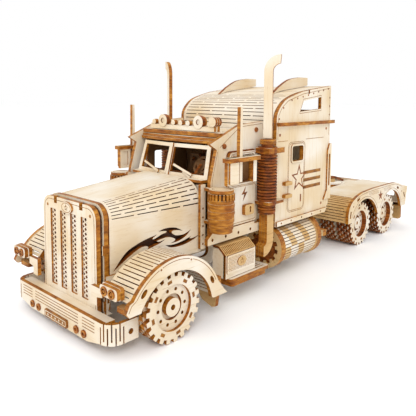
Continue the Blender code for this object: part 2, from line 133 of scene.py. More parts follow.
def bare_face(name, pale, tan, deep, along):
    """Basswood plywood, planed and unfinished: pale, matt, with fine straight grain along one
    axis, small dark pores and a slow change of tone across the sheet."""
    material, tree, shader = start_material(name, 0.62)
    place = node(tree, "ShaderNodeTexCoord")
    lengths = {"X": (0.06, 1.0, 1.0), "Y": (1.0, 0.06, 1.0), "Z": (1.0, 1.0, 0.06)}[along]
    stretch = node(tree, "ShaderNodeMapping", [("Vector", place, "Object")], [("Scale", lengths)])
    grain = node(tree, "ShaderNodeTexNoise", [("Vector", stretch, "Vector")],
                 [("Scale", 1 / (1.1 * MM)), ("Detail", 5.0), ("Roughness", 0.65)])
    pores = node(tree, "ShaderNodeTexNoise", [("Vector", stretch, "Vector")],
                 [("Scale", 1 / (0.35 * MM)), ("Detail", 2.0)])
    patches = node(tree, "ShaderNodeTexNoise", [("Vector", place, "Object")],
                   [("Scale", 1 / (22 * MM)), ("Detail", 2.0)])
    tone = ramp(tree, grain, "Fac", [(0.30, tan), (0.48, pale), (0.75, pale)])
    dark = ramp(tree, patches, "Fac", [(0.35, "#f1e2c8"), (0.65, "#ffffff")])
    shaded = blend(tree, 1.0, (tone, "Color"), (dark, "Color"), "MULTIPLY")
    specks = ramp(tree, pores, "Fac", [(0.24, deep), (0.33, "#ffffff")])
    final = blend(tree, 0.55, (shaded, 2), (specks, "Color"), "MULTIPLY")
    tree.links.new(final.outputs[2], shader.inputs["Base Color"])
    bump = node(tree, "ShaderNodeBump", [("Height", grain, "Fac")],
                [("Strength", 0.18), ("Distance", 0.04 * MM)])
    tree.links.new(bump.outputs["Normal"], shader.inputs["Normal"])
    return material


def burnt_edge(name, light, mid, dark):
    """The sheet's laser-cut edge: toasted brown, streaked where the veneers differ, satin; in its darkest
    colours, also the painted shade behind openings.
    """
    material, tree, shader = start_material(name, 0.5)
    place = node(tree, "ShaderNodeTexCoord")
    layers = node(tree, "ShaderNodeMapping", [("Vector", place, "Object")], [("Scale", (0.35, 0.35, 1.6))])
    streaks = node(tree, "ShaderNodeTexNoise", [("Vector", layers, "Vector")],
                   [("Scale", 1 / (1.3 * MM)), ("Detail", 3.0), ("Roughness", 0.6)])
    patches = node(tree, "ShaderNodeTexNoise", [("Vector", place, "Object")],
                   [("Scale", 1 / (6 * MM)), ("Detail", 1.0)])
    tone = ramp(tree, streaks, "Fac", [(0.32, dark), (0.5, mid), (0.68, light)])
    drift = ramp(tree, patches, "Fac", [(0.35, "#e2cdae"), (0.6, "#ffffff")])
    final = blend(tree, 1.0, (tone, "Color"), (drift, "Color"), "MULTIPLY")
    tree.links.new(final.outputs[2], shader.inputs["Base Color"])
    bump = node(tree, "ShaderNodeBump", [("Height", streaks, "Fac")],
                [("Strength", 0.3), ("Distance", 0.06 * MM)])
    tree.links.new(bump.outputs["Normal"], shader.inputs["Normal"])
    return material


PALE, TAN, PORE = "#e4dbcc", "#dccdb3", "#b8935f"
FACE = {axis: bare_face("basswood_face_grain_" + axis.lower(), PALE, TAN, PORE, axis) for axis in "XYZ"}
EDGE = burnt_edge("laser_browned_edge", "#c08530", "#a2661c", "#78450d")
DARK_EDGE = burnt_edge("deep_browned_edge", "#ab6620", "#884810", "#522a07")
ENGRAVED = burnt_edge("engraved_line", "#ad782e", "#8f5d1e", "#6b400f")
DOWEL = bare_face("turned_basswood_dowel", "#ecd7ae", "#d9b77e", "#b98b4c", "X")
# a darker tan face, the tone the wood shows in shade; then painted shade: the dark sheets set behind slots
# and cut-outs, and the cab's inside in dark brown
DARK_TAN = bare_face("darker_tan_face", "#ccab78", "#b48d58", "#80592c", "Y")
OPENING_SHADE = burnt_edge("painted_shade_behind_openings", "#5e3414", "#43230b", "#2b1506")
CAB_SHADE_FACE = bare_face("painted_shade_cab_inside", "#7d5c3a", "#6a4a2b", "#3f2812", "X")
# finishes, a face and an edge; the first three say which way the face's grain runs
ACROSS = (FACE["X"], EDGE)
LENGTHWISE = (FACE["Y"], EDGE)
UPRIGHT = (FACE["Z"], EDGE)
FINISH = {"X": LENGTHWISE, "Y": ACROSS, "Z": LENGTHWISE}      # by the plane a sheet lies in
DARK = (FACE["Y"], DARK_EDGE)
# painted shade: the cab's inside in dark brown, where the pale wood lies in shade
CAB_INSIDE_SHADE = (CAB_SHADE_FACE, DARK_EDGE)
# painted shade: dark sheets behind slots and cut-outs, where the inside lies in shade
OPENING_SHADE_FINISH = (OPENING_SHADE, OPENING_SHADE)
LINES = (ENGRAVED, ENGRAVED)
DEEP_BROWN = (DARK_EDGE, DARK_EDGE)
DARK_TAN_BOARD = (DARK_TAN, EDGE)


# ---------------------------------------------------------------- outlines

def arc(centre, radius, start, end, steps=8):
    """Points on an arc, angles in degrees, both ends included."""
    turns = [math.radians(start + (end - start) * i / steps) for i in range(steps + 1)]
    return [(centre[0] + radius * math.cos(a), centre[1] + radius * math.sin(a)) for a in turns]


def disc(centre, radius, count=20):
    """A full circle of points."""
    return arc(centre, radius, 0, 360 - 360 / count, count - 1)


def box(u0, v0, u1, v1, corner=0.0):
    """A rectangle, with rounded corners if asked."""
    if not corner:
        return [(u0, v0), (u1, v0), (u1, v1), (u0, v1)]
    c = corner
    return (arc((u1 - c, v0 + c), c, -90, 0, 4) + arc((u1 - c, v1 - c), c, 0, 90, 4)
            + arc((u0 + c, v1 - c), c, 90, 180, 4) + arc((u0 + c, v0 + c), c, 180, 270, 4))


def closed(outline):
    """The outline run back to its start, as an engraved line needs it."""
    return outline + outline[:1]


def oval(centre, half_u, half_v, count):
    """A full ellipse of points."""
    turns = [2 * math.pi * i / count for i in range(count)]
    return [(centre[0] + half_u * math.cos(a), centre[1] + half_v * math.sin(a)) for a in turns]


def rod(radius, start, end):
    """The profile of a plain turned cylinder."""
    return [(0, start), (radius, start), (radius, end), (0, end)]


def pipe(inner, outer, start, end):
    """The profile of a plain turned ring."""
    return [(inner, start), (outer, start), (outer, end), (inner, end)]


def flip(outline):
    """The outline mirrored in its first coordinate, running the same way round."""
    return [(-u, v) for u, v in reversed(outline)]


def offset(points, distance, closed=False):
    """The path moved sideways, to the left of its direction."""
    moved, count = [], len(points)
    for i, (u, v) in enumerate(points):
        before = points[i - 1] if closed or i else points[0]
        after = points[(i + 1) % count] if closed or i < count - 1 else points[-1]
        du, dv = after[0] - before[0], after[1] - before[1]
        length = math.hypot(du, dv) or 1.0
        moved.append((u - dv / length * distance, v + du / length * distance))
    return moved


def stroke(points, width=LINE):
    """The outline of an engraved line along a path."""
    return offset(points, width / 2) + offset(points, -width / 2)[::-1]


def curve(points, steps=5, closed=False):
    """A smooth path through a few points."""
    path, count = [], len(points)
    spans = count if closed else count - 1
    for i in range(spans):
        p1, p2 = points[i], points[(i + 1) % count]
        p0 = points[i - 1] if closed or i else p1
        p3 = points[(i + 2) % count] if closed or i < count - 2 else p2
        for k in range(steps):
            t = k / steps
            path.append(tuple(0.5 * (2 * b + (c - a) * t + (2 * a - 5 * b + 4 * c - d) * t * t
                              + (3 * b - a - 3 * c + d) * t ** 3) for a, b, c, d in zip(p0, p1, p2, p3)))
    return path if closed else path + [points[-1]]


def star(centre, radius, share=0.42, tilt=90.0):
    """A five-pointed star."""
    return [(centre[0] + r * math.cos(math.radians(tilt + 36 * i)),
             centre[1] + r * math.sin(math.radians(tilt + 36 * i)))
            for i, r in enumerate([radius, radius * share] * 5)]


def gear(centre, radius, depth, teeth, phase=0.0):
    """A toothed circle; phase is in teeth."""
    points = []
    for tooth in range(teeth):
        for share, cut in ((0.0, depth), (0.40, depth), (0.46, 0.0), (0.94, 0.0)):
            angle = 2 * math.pi * (tooth + share + phase) / teeth
            points.append((centre[0] + (radius - cut) * math.cos(angle),
                           centre[1] + (radius - cut) * math.sin(angle)))
    return points


# ---------------------------------------------------------------- solids

def paint_edges(faces, axis):
    """Give the faces that aren't square to the axis the edge finish."""
    for face in faces:
        face.normal_update()
        face.material_index = 0 if abs(face.normal.dot(axis)) > 0.5 else 1


def add_board(bm, plane, middle, outline, holes=(), thickness=PLY, turn=(0, 0, 0), at=(0, 0, 0)):
    """A flat sheet: its outline filled, thickened, turned, and moved to its place."""
    verts, edges = [], []
    for loop in (outline, *holes):
        ring = [bm.verts.new((u, v, -thickness / 2)) for u, v in loop]
        edges += [bm.edges.new((ring[i - 1], ring[i])) for i in range(len(ring))]
        verts += ring
    filled = bmesh.ops.triangle_fill(bm, use_beauty=True, use_dissolve=False, edges=edges, normal=(0, 0, 1))
    faces = [item for item in filled["geom"] if isinstance(item, bmesh.types.BMFace)]
    grown = bmesh.ops.extrude_face_region(bm, geom=faces, use_keep_orig=True)["geom"]
    top = [item for item in grown if isinstance(item, bmesh.types.BMVert)]
    bmesh.ops.translate(bm, vec=(0, 0, thickness), verts=top)
    verts += top
    paint_edges({face for vert in verts for face in vert.link_faces}, Vector((0, 0, 1)))
    spin = Euler([math.radians(a) for a in turn]).to_matrix() @ PLANES[plane]
    index = "XYZ".index(plane)
    shift = Vector(at)
    shift[index] += middle
    bmesh.ops.transform(bm, matrix=Matrix.Translation(shift) @ spin.to_4x4(), verts=verts)
    return verts


def add_turned(bm, axis, centre, profile, steps=40, ring=False):
    """A turned solid: (radius, height) pairs spun round an axis through a point."""
    verts = [bm.verts.new((max(r, 0.0), 0, h)) for r, h in profile]
    edges = [bm.edges.new(pair) for pair in zip(verts, verts[1:])]
    if ring:
        edges.append(bm.edges.new((verts[-1], verts[0])))
    before = set(bm.verts) - set(verts)
    bmesh.ops.spin(bm, geom=verts + edges, cent=(0, 0, 0), axis=(0, 0, 1), angle=2 * math.pi,
                   steps=steps, use_merge=True, use_duplicate=False)
    fresh = [v for v in bm.verts if v not in before]
    bmesh.ops.remove_doubles(bm, verts=fresh, dist=1e-4)
    fresh = [v for v in bm.verts if v not in before]
    paint_edges({face for vert in fresh for face in vert.link_faces}, Vector((0, 0, 1)))
    swing = {"X": Matrix.Rotation(math.pi / 2, 3, "Y"), "Y": Matrix.Rotation(-math.pi / 2, 3, "X"),
             "Z": Matrix.Identity(3)}[axis]
    bmesh.ops.transform(bm, matrix=Matrix.Translation(centre) @ swing.to_4x4(), verts=fresh)
    return fresh


def slice_board(bm, axis, stations):
    """Cut the sheet across so that it can bend there."""
    normal = {"X": (1, 0, 0), "Y": (0, 1, 0)}[axis]
    for station in stations:
        point = Vector(normal) * station
        bmesh.ops.bisect_plane(bm, geom=bm.verts[:] + bm.edges[:] + bm.faces[:], dist=1e-5,
                               plane_co=point, plane_no=normal)


def bend(bm, shape):
    """Move every vertex (u, v, w) of a flat sheet to its bent place."""
    for vert in bm.verts:
        vert.co = shape(*vert.co)


def publish(name, bm, finish, body="chassis", stands_for=(), slot="birch_face", paired=False):
    """Turn millimetres into a finished piece riding on its body, and its mirror image if paired."""
    sides = ("_left", "_right") if paired else ("",)
    for side in sides:
        part = bm.copy()
        if side == "_right":
            bmesh.ops.scale(part, vec=(-1, 1, 1), verts=part.verts[:])
        bmesh.ops.recalc_face_normals(part, faces=part.faces[:])
        bmesh.ops.transform(part, matrix=ORIGIN, verts=part.verts[:])
        mesh = bpy.data.meshes.new(name + side)
        part.to_mesh(mesh)
        part.free()
        for material in finish:
            mesh.materials.append(material)
        mesh.shade_smooth()
        mesh.set_sharp_from_angle(angle=math.radians(32))
        obj = bpy.data.objects.new(name + side, mesh)
        bpy.context.scene.collection.objects.link(obj)
        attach(obj, body)
        if stands_for:
            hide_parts(*[cad + side for cad in stands_for])
    bm.free()


def one_board(name, plane, middle, outline, holes=(), thickness=PLY, finish=None, **how):
    """A piece that is a single flat sheet."""
    bm = bmesh.new()
    add_board(bm, plane, middle, outline, holes, thickness)
    publish(name, bm, finish or FINISH[plane], **how)


def fitted_board(name, node_name, plane, outline=None, holes=(), **how):
    """A flat sheet in its CAD node's place, with the node's own outline unless one is given;
    returns where its outer face is."""
    low, high = span(node_name + "_left" * how.get("paired", False))
    across = "XYZ".index(plane)
    u, v = [i for i in range(3) if i != across]
    outline = outline or box(low[u], low[v], high[u], high[v])
    one_board(name, plane, (low[across] + high[across]) / 2, outline, holes, stands_for=[node_name], **how)
    return high[across]


def add_dots(bm, face, spots, radius, count=10):
    """Round marks burnt into a side face."""
    for spot in spots:
        add_board(bm, "X", face, disc(spot, radius, count), thickness=ETCH)


def engrave(name, plane, level, paths, width=LINE, **how):
    """Engraved lines on a flat face: thin inlays that stand a hair proud of it."""
    bm = bmesh.new()
    for path in paths:
        add_board(bm, plane, level, stroke(path, width), thickness=ETCH)
    publish(name, bm, LINES, slot="burnt_edge", **how)


# ---------------------------------------------------------------- nose

HOOD_LOW, HOOD_HIGH = span("hood")
GRILLE_FACE = span("grille_frame")[0].y
SLOT_XS = [(i - 1.5) * 6.53 for i in range(4)]
SLOT_HALF, SLOT_BOTTOM, SLOT_TOP = 1.9, 12.9, 40.6
HOOD_FRONT_HALF, HOOD_REAR_HALF = 17.0, HOOD_HIGH.x
HOOD_FRONT_TOP, HOOD_REAR_TOP = 45.2, HOOD_HIGH.z
TOP_RUN, BEND_RUN, SIDE_RUN = 11.35, 12.0, 17.85      # bonnet's flat width, bend and side, half


def grille_outline(grow=0.0, notched=False):
    """The radiator shell's outline, with two small notches in its top edge."""
    half, low, high, corner = 16.7 + grow, 8.0, 45.0 + grow, 4.6
    top = arc((half - corner, high - corner), corner, 0, 90, 6)
    notch = [(9.1, high), (9.1, 42.7), (7.1, 42.7), (7.1, high)] if notched else []
    right = [(half, low), *top, *notch]
    return right + flip(right)


def build_grille():
    """Radiator shell: slotted front, diamond lattice, back frame, badge and pins."""
    slots = [box(x - SLOT_HALF, SLOT_BOTTOM, x + SLOT_HALF, SLOT_TOP, 0.3) for x in SLOT_XS]
    one_board("radiator_shell", "Y", GRILLE_FACE + PLY / 2, grille_outline(notched=True), slots,
              finish=UPRIGHT, stands_for=["grille_frame"])
    border = offset(grille_outline(), 1.1, closed=True)
    engrave("radiator_border", "Y", GRILLE_FACE, [closed(border)], 0.2)
    bm = bmesh.new()
    for x in SLOT_XS:
        diamonds = []
        for row in range(17):
            z = SLOT_BOTTOM + 0.9 + row * 1.62
            diamonds.append([(x - 0.72, z), (x, z - 0.66), (x + 0.72, z), (x, z + 0.66)])
            if row < 16:
                for side in (-1, 1):
                    edge, tip, mid = x + side * 1.6, x + side * 0.62, z + 0.81
                    diamonds.append([(edge, mid - 0.62), (tip, mid), (edge, mid + 0.62)])
        strip = box(x - SLOT_HALF + 0.02, SLOT_BOTTOM, x + SLOT_HALF - 0.02, SLOT_TOP)
        add_board(bm, "Y", GRILLE_FACE + 0.65 + THIN / 2, strip, diamonds, THIN)
    publish("radiator_lattice", bm, DARK, stands_for=["grille_lattice"])
    # painted shade: a dark sheet behind the grille's slots
    one_board("radiator_core", "Y", GRILLE_FACE + 2.2, grille_outline(-0.4), (), THIN,
              OPENING_SHADE_FINISH, slot="burnt_edge")
    bm = bmesh.new()
    window = box(-13.6, 11.0, 13.6, 42.0)
    add_board(bm, "Y", -14.0, grille_outline(0.3), [window], 1.7)
    for z0, z1 in ((28.8, 31.9), (15.3, 18.6), (10.0, 13.3)):
        for x in (-17.05, 17.05):
            add_board(bm, "Y", -14.2, box(x - 0.25, z0, x + 0.25, z1), thickness=2.6)
    publish("radiator_back_frame", bm, UPRIGHT)
    bm = bmesh.new()
    badge_at = (0, 42.4)
    add_board(bm, "Y", GRILLE_FACE - 0.35, oval(badge_at, 3.4, 2.0, 36), thickness=0.7)
    publish("oval_badge", bm, UPRIGHT)
    ring = oval(badge_at, 0.82 * 3.4, 0.8 * 2.0, 36)
    engrave("oval_badge_ring", "Y", GRILLE_FACE - 0.7, [closed(ring), closed(star(badge_at, 1.1))], 0.2)
    bm = bmesh.new()
    for x, z in ((13.5, 41.6), (-13.5, 41.6), (12.9, 10.7), (-12.9, 10.7)):
        add_board(bm, "Y", GRILLE_FACE, disc((x, z), 0.55, 12), thickness=0.12)
    publish("radiator_pins", bm, LINES, slot="burnt_edge")


def hood_size(y):
    """The bonnet's half width, top height and shoulder radius at a station."""
    t = (y - HOOD_LOW.y) / (HOOD_HIGH.y - HOOD_LOW.y)
    return (HOOD_FRONT_HALF + (HOOD_REAR_HALF - HOOD_FRONT_HALF) * t,
            HOOD_FRONT_TOP + (HOOD_REAR_TOP - HOOD_FRONT_TOP) * t, 5.6 + 4.1 * t)


def hood_shape(u, y, w):
    """Where a point of the flat bonnet sheet goes: u across from the middle, w outward."""
    half, top, r = hood_size(y)
    side, u = (1 if u >= 0 else -1), abs(u)
    lift = w - PLY / 2
    if u <= TOP_RUN:
        return Vector((side * u / TOP_RUN * (half - r), y, top + lift))
    if u <= TOP_RUN + BEND_RUN:
        turn = (u - TOP_RUN) / BEND_RUN * math.pi / 2
        return Vector((side * (half - r + (r + lift) * math.sin(turn)), y,
                       top - r + (r + lift) * math.cos(turn)))
    drop = (u - TOP_RUN - BEND_RUN) / SIDE_RUN
    return Vector((side * (half + lift), y, top - r - drop * (top - r - HOOD_LOW.z)))


def hood_side(y, z):
    """A point on the bonnet's side, in the flat sheet's own coordinates."""
    _, top, r = hood_size(y)
    return TOP_RUN + BEND_RUN + SIDE_RUN * (top - r - z) / (top - r - HOOD_LOW.z), y


def splay(bm):
    """Lean an upright board out towards the rear, as the bonnet's side does."""
    for vert in bm.verts:
        vert.co.x += 4.0 * (vert.co.y - HOOD_LOW.y) / (HOOD_HIGH.y - HOOD_LOW.y)


def flames():
    """A hot-rod flame and its trailing lick on the bonnet's side, as (y, z) outlines."""
    main = [[(-11.6, 22.3), (-8.6, 25.9), (-5.8, 28.4), (-2.0, 30.0), (1.4, 31.0), (6.3, 31.9)],
            [(6.3, 31.9), (4.5, 31.0), (4.3, 30.5), (5.4, 30.6), (8.2, 31.6), (9.9, 31.9),
             (10.2, 32.3), (9.1, 32.6), (6.7, 32.8)],
            [(6.7, 32.8), (9.0, 33.4), (11.8, 33.4), (14.7, 32.8), (17.6, 31.2)],
            [(17.6, 31.2), (15.1, 31.9), (13.0, 32.0), (12.5, 31.5), (13.2, 30.7), (14.7, 30.0),
             (17.6, 29.8), (19.8, 30.4), (21.4, 31.2)],
            [(21.4, 31.2), (19.6, 29.4), (17.2, 28.2), (14.7, 27.6), (11.9, 27.6)],
            [(11.9, 27.6), (13.7, 28.1), (14.0, 28.8), (12.3, 29.7), (10.0, 30.1), (7.2, 29.8),
             (6.1, 29.4), (7.4, 29.1), (9.7, 29.5)],
            [(9.7, 29.5), (7.2, 28.4), (5.0, 27.9), (0.6, 26.8)],
            [(0.6, 26.8), (2.2, 27.5), (2.3, 28.2), (1.2, 28.6), (-1.1, 28.3), (-4.9, 26.5),
             (-8.2, 24.5), (-11.6, 22.3)]]
    tail = [[(9.6, 27.3), (12.8, 26.9), (15.8, 27.1), (18.7, 27.7), (21.6, 28.6)],
            [(21.6, 28.6), (20.8, 27.8), (22.6, 27.7), (25.6, 28.4)],
            [(25.6, 28.4), (22.6, 27.0), (18.7, 26.0), (14.8, 25.7), (11.9, 26.1), (9.6, 27.3)]]
    return [[point for run in lick for point in curve(run)[:-1]] for lick in (main, tail)]


def build_hood():
    """Bent bonnet sheet with living-hinge slits along both shoulders and flames cut in its sides."""
    front, rear = HOOD_LOW.y, HOOD_HIGH.y
    edge = TOP_RUN + BEND_RUN + SIDE_RUN
    holes = []
    for row in range(8):
        u = TOP_RUN + 0.7 + row * 1.5
        start = front + (1.0 if row % 2 else -3.8)
        for k in range(5):
            v0 = max(start + k * 9.8, front + 1.0)
            v1 = min(start + k * 9.8 + 8.5, rear - 0.9)
            if v1 - v0 > 1.5:
                holes.append(box(u - HINGE / 2, v0, u + HINGE / 2, v1))
                holes.append(box(-u - HINGE / 2, v0, -u + HINGE / 2, v1))
    for lick in flames():
        flat = [hood_side(y, z) for y, z in lick]
        holes += [flat, flip(flat)]
    bm = bmesh.new()
    add_board(bm, "Z", 0, box(-edge, front, edge, rear), holes)
    bends = [TOP_RUN + BEND_RUN * i / 10 for i in range(11)]
    slice_board(bm, "X", bends + [-b for b in bends])
    bend(bm, hood_shape)
    publish("bonnet", bm, DARK, stands_for=["hood"])
    bm = bmesh.new()
    apron = [(-14.6, 8.5), (-12.4, 8.5), *arc((0, 8.0), 14.0, 172, 20, 24), (14.6, 21.6), (-14.6, 21.6)]
    add_board(bm, "X", 16.9, apron, [box(-14.2, 12.5, -13.4, 15.5)])
    splay(bm)
    publish("bonnet_apron", bm, FINISH["X"], paired=True)
    # painted shade: a dark liner inside the bonnet, seen through the flame cut-outs
    bm = bmesh.new()
    add_board(bm, "X", 14.6, box(front + 0.5, 22.2, rear - 0.8, 38.0), thickness=THIN)
    splay(bm)
    publish("bonnet_liner", bm, OPENING_SHADE_FINISH, slot="burnt_edge", paired=True)


BUMPER_LOW, BUMPER_HIGH = span("bumper")
BUMPER_FACE = BUMPER_LOW.y + 0.7      # its trim stands proud of it, out to the CAD's face
BUMPER_PLY, BUMPER_CORNER = 1.5, 5.0
BUMPER_FLAT = BUMPER_HIGH.x - BUMPER_CORNER
BUMPER_BEND = BUMPER_CORNER * math.pi / 2


def bumper_shape(u, z, w):
    """Where a point of the flat bumper strip goes: u along it from the middle, w outward."""
    side, u = (1 if u >= 0 else -1), abs(u)
    lift = w - BUMPER_PLY / 2
    if u <= BUMPER_FLAT:
        return Vector((side * u, BUMPER_FACE - lift, z))
    if u <= BUMPER_FLAT + BUMPER_BEND:
        turn = (u - BUMPER_FLAT) / BUMPER_CORNER
        reach = BUMPER_CORNER + lift
        return Vector((side * (BUMPER_FLAT + reach * math.sin(turn)),
                       BUMPER_FACE + BUMPER_CORNER - reach * math.cos(turn), z))
    return Vector((side * (BUMPER_HIGH.x + lift),
                   BUMPER_FACE + BUMPER_CORNER + u - BUMPER_FLAT - BUMPER_BEND, z))


def build_bumper():
    """The bumper strip with its slit corners, engraved grooves, lamps, plaque and shelf."""
    end = BUMPER_FLAT + BUMPER_BEND + BUMPER_HIGH.y - BUMPER_LOW.y - BUMPER_CORNER
    top, bottom, half_slit = BUMPER_HIGH.z, BUMPER_LOW.z + 1.5, 0.24
    edge = [(18.0, BUMPER_LOW.z), (BUMPER_FLAT, bottom)]
    slits = [BUMPER_FLAT + 0.4 + 1.3 * k for k in range(7)]
    for u in slits[::2]:
        a, b = u - half_slit, u + half_slit
        edge += [(a, bottom), (a, top - 1.2), (b, top - 1.2), (b, bottom)]
    edge += [(end, bottom), (end, top)]
    for u in slits[-2::-2]:
        a, b = u - half_slit, u + half_slit
        edge += [(b, top), (b, bottom + 1.2), (a, bottom + 1.2), (a, top)]
    hole = disc((end - 3.0, 7.6), 0.95, 16)
    bm = bmesh.new()
    add_board(bm, "Z", 0, edge + flip(edge), [hole, flip(hole)], BUMPER_PLY)
    bends = [BUMPER_FLAT + BUMPER_BEND * i / 9 for i in range(10)]
    slice_board(bm, "X", bends + [-b for b in bends])
    bend(bm, bumper_shape)
    publish("bumper_strip", bm, ACROSS, stands_for=["bumper"])
    grooves = []
    for z in (10.2, 9.2, 8.2, 7.2):
        grooves += [[(-23.9, z), (-17.0, z)], [(-14.8, z), (13.2, z)], [(15.6, z), (22.5, z)]]
    engrave("bumper_grooves", "Y", BUMPER_FACE, grooves, 0.28)
    rings, centres = bmesh.new(), bmesh.new()
    for x in (-12.3, 12.3, -16.7, 16.7):
        add_turned(rings, "Y", (x, BUMPER_FACE, 5.0), pipe(0.55, 1.3, 0.2, -0.5), 24, True)
        add_board(centres, "Y", BUMPER_FACE - 0.05, disc((x, 5.0), 0.56, 14), thickness=0.3)
    publish("fog_lamp_rings", rings, (EDGE, DARK_EDGE))
    publish("fog_lamp_centres", centres, DEEP_BROWN, slot="burnt_edge")
    one_board("bumper_plaque", "Y", BUMPER_FACE - 0.25, box(-7.2, 3.5, 7.2, 6.3, 0.5), thickness=THIN,
              finish=LINES)
    bm = bmesh.new()
    raised = BUMPER_FACE - 0.65
    add_board(bm, "Y", raised, box(-6.7, 3.95, 6.7, 5.85, 0.3), [box(-6.4, 4.2, 6.4, 5.6, 0.2)], 0.1)
    for k in range(5):
        add_board(bm, "Y", raised, star((-4.8 + 2.4 * k, 4.85), 0.62), thickness=0.1)
    publish("bumper_plaque_relief", bm, UPRIGHT)
    shelf_low, shelf_high = span("bumper_shelf")
    shelf = box(-26.5, shelf_low.y - 0.3, 26.5, shelf_high.y + 0.2)
    one_board("bumper_shelf_board", "Z", top - PLY / 2 - 0.1, shelf, finish=ACROSS,
              stands_for=["bumper_shelf"])


def build_headlights():
    """Twin-lamp blocks on stepped brackets, ahead of each wing."""
    front = span("headlight_left")[0].y
    lamps = ((26.6, 21.5), (30.4, 21.5))
    bracket = [(17.3, 14.5), (20.5, 14.5), (20.5, 17.4), (23.4, 17.9), (23.4, 20.6), (17.3, 20.6)]
    bm = bmesh.new()
    add_board(bm, "Y", front + 1.0, box(24.2, 19.7, 33.0, 23.3, 1.0), [disc(lamp, 1.0) for lamp in lamps])
    for outline in (box(23.6, 19.4, 33.0, 23.5, 1.0), bracket):
        add_board(bm, "Y", front + 2.3, outline, thickness=1.4)
    publish("headlight_block", bm, ACROSS, stands_for=["headlight"], paired=True)
    bm = bmesh.new()
    for x, z in lamps:
        add_turned(bm, "Y", (x, front, z), pipe(0.9, 1.5, 0.6, -0.25), 28, True)
        add_turned(bm, "Y", (x, front, z), rod(0.5, 0.6, -0.1), 16)
    publish("headlight_rings", bm, (EDGE, DARK_EDGE), paired=True)


# ---------------------------------------------------------------- front wings

ARCH, ARCH_FOOT = (0.0, 7.6), 149.0      # centre of the wing's arch; angle where its skin starts


def comb(start, end, low, high, pitch, margin):
    """A strip's two long edges, out and back, with slits cut in turn from each so that it bends."""
    near, far = [(start, low)], [(start, high)]
    count = int((end - start) / pitch)
    for k in range(1, count):
        u = start + (end - start) * k / count
        a, b = u - HINGE / 2, u + HINGE / 2
        if k % 2:
            near += [(a, low), (a, high - margin), (b, high - margin), (b, low)]
        else:
            far += [(a, high), (a, low + margin), (b, low + margin), (b, high)]
    return near + [(end, low)], (far + [(end, high)])[::-1]


def build_front_wings():
    """Arch plate with its slots and engraved rim, ribbed bent skin, and mud flap."""
    plate = arc(ARCH, 21.4, 146, 24, 40) + curve([(20.4, 15.2), (22.6, 12.4), (24.6, 10.4)], 3)
    plate += [(17.5, 10.4)] + arc(ARCH, 16.8, 11, 153, 40) + [(-19.4, 15.1), (-20.5, 16.5), (-19.2, 19.1)]
    slots = []
    for angle in (136.0, 30.0):
        a = math.radians(angle)
        centre = Vector((ARCH[0] + 19.1 * math.cos(a), ARCH[1] + 19.1 * math.sin(a)))
        along, across = Vector((-math.sin(a), math.cos(a))), Vector((math.cos(a), math.sin(a)))
        slots.append([tuple(centre + along * (1.6 * math.cos(t)) + across * (0.8 * math.sin(t)))
                      for t in [2 * math.pi * i / 20 for i in range(20)]])
    face = fitted_board("wing_plate", "wing_plate", "X", plate, slots, paired=True)
    rims = [arc(ARCH, 20.5, a0, a1, 20) for a0, a1 in ((144, 112), (108, 74), (70, 26))]
    rims.append([(-16.7, 19.6), (-18.6, 18.4), (-19.6, 16.6)])
    engrave("wing_rim_lines", "X", face, rims, 0.2, paired=True)
    bm = bmesh.new()
    add_dots(bm, face, arc(ARCH, 20.2, 110, 72, 1), 0.35)
    publish("wing_pins", bm, LINES, slot="burnt_edge", paired=True)
    skin_low, skin_high = span("wing_skin_left")
    radius = 20.3
    length = math.radians(ARCH_FOOT - 8) * radius
    near, far = comb(0.0, length, skin_low.x, skin_high.x, 1.45, 1.3)
    bm = bmesh.new()
    add_board(bm, "Z", 0, near + far)
    slice_board(bm, "X", [length * i / 34 for i in range(1, 34)])

    def wrap(u, v, w):
        """Bend the strip over the wheel."""
        angle = math.radians(ARCH_FOOT) - u / radius
        y, z = (radius + w) * math.cos(angle), ARCH[1] + (radius + w) * math.sin(angle)
        return Vector((v + 0.28 * (v > 30), y, z))

    bend(bm, wrap)
    publish("wing_skin", bm, FINISH["Z"], stands_for=["wing_skin"], slot="bent_sheet", paired=True)
    one_board("wing_stay", "Z", 15.3, box(28.0, -18.4, 34.5, -15.4, 0.8), finish=DARK_TAN_BOARD, paired=True)
    flap = curve([(34.0, 16.0), (34.0, 12.5), (33.2, 8.0), (32.6, 4.6)], 3)
    flap += [(31.0, 4.1), (26.0, 5.6), (22.4, 10.0), (22.0, 16.0)]
    one_board("mud_flap_front", "Y", 22.6, flap, finish=DARK_TAN_BOARD, stands_for=["mud_flap"],
              slot="bent_sheet", paired=True)


# ---------------------------------------------------------------- running gear

def add_tyre(bm, out, inner, layers, hole, radius, dish, phase=0.0):
    """Stacked toothed plies, each turned half a tooth from the last."""
    depth = (out - inner) / layers
    for k in range(layers):
        outline = gear((0, radius), radius, 1.3, 22, phase + 0.5 * (k % 2))
        ply_hole = hole if k < dish else 2.2
        add_board(bm, "X", out - depth * (k + 0.5), outline, [disc((0, radius), ply_hole, 36)], depth)


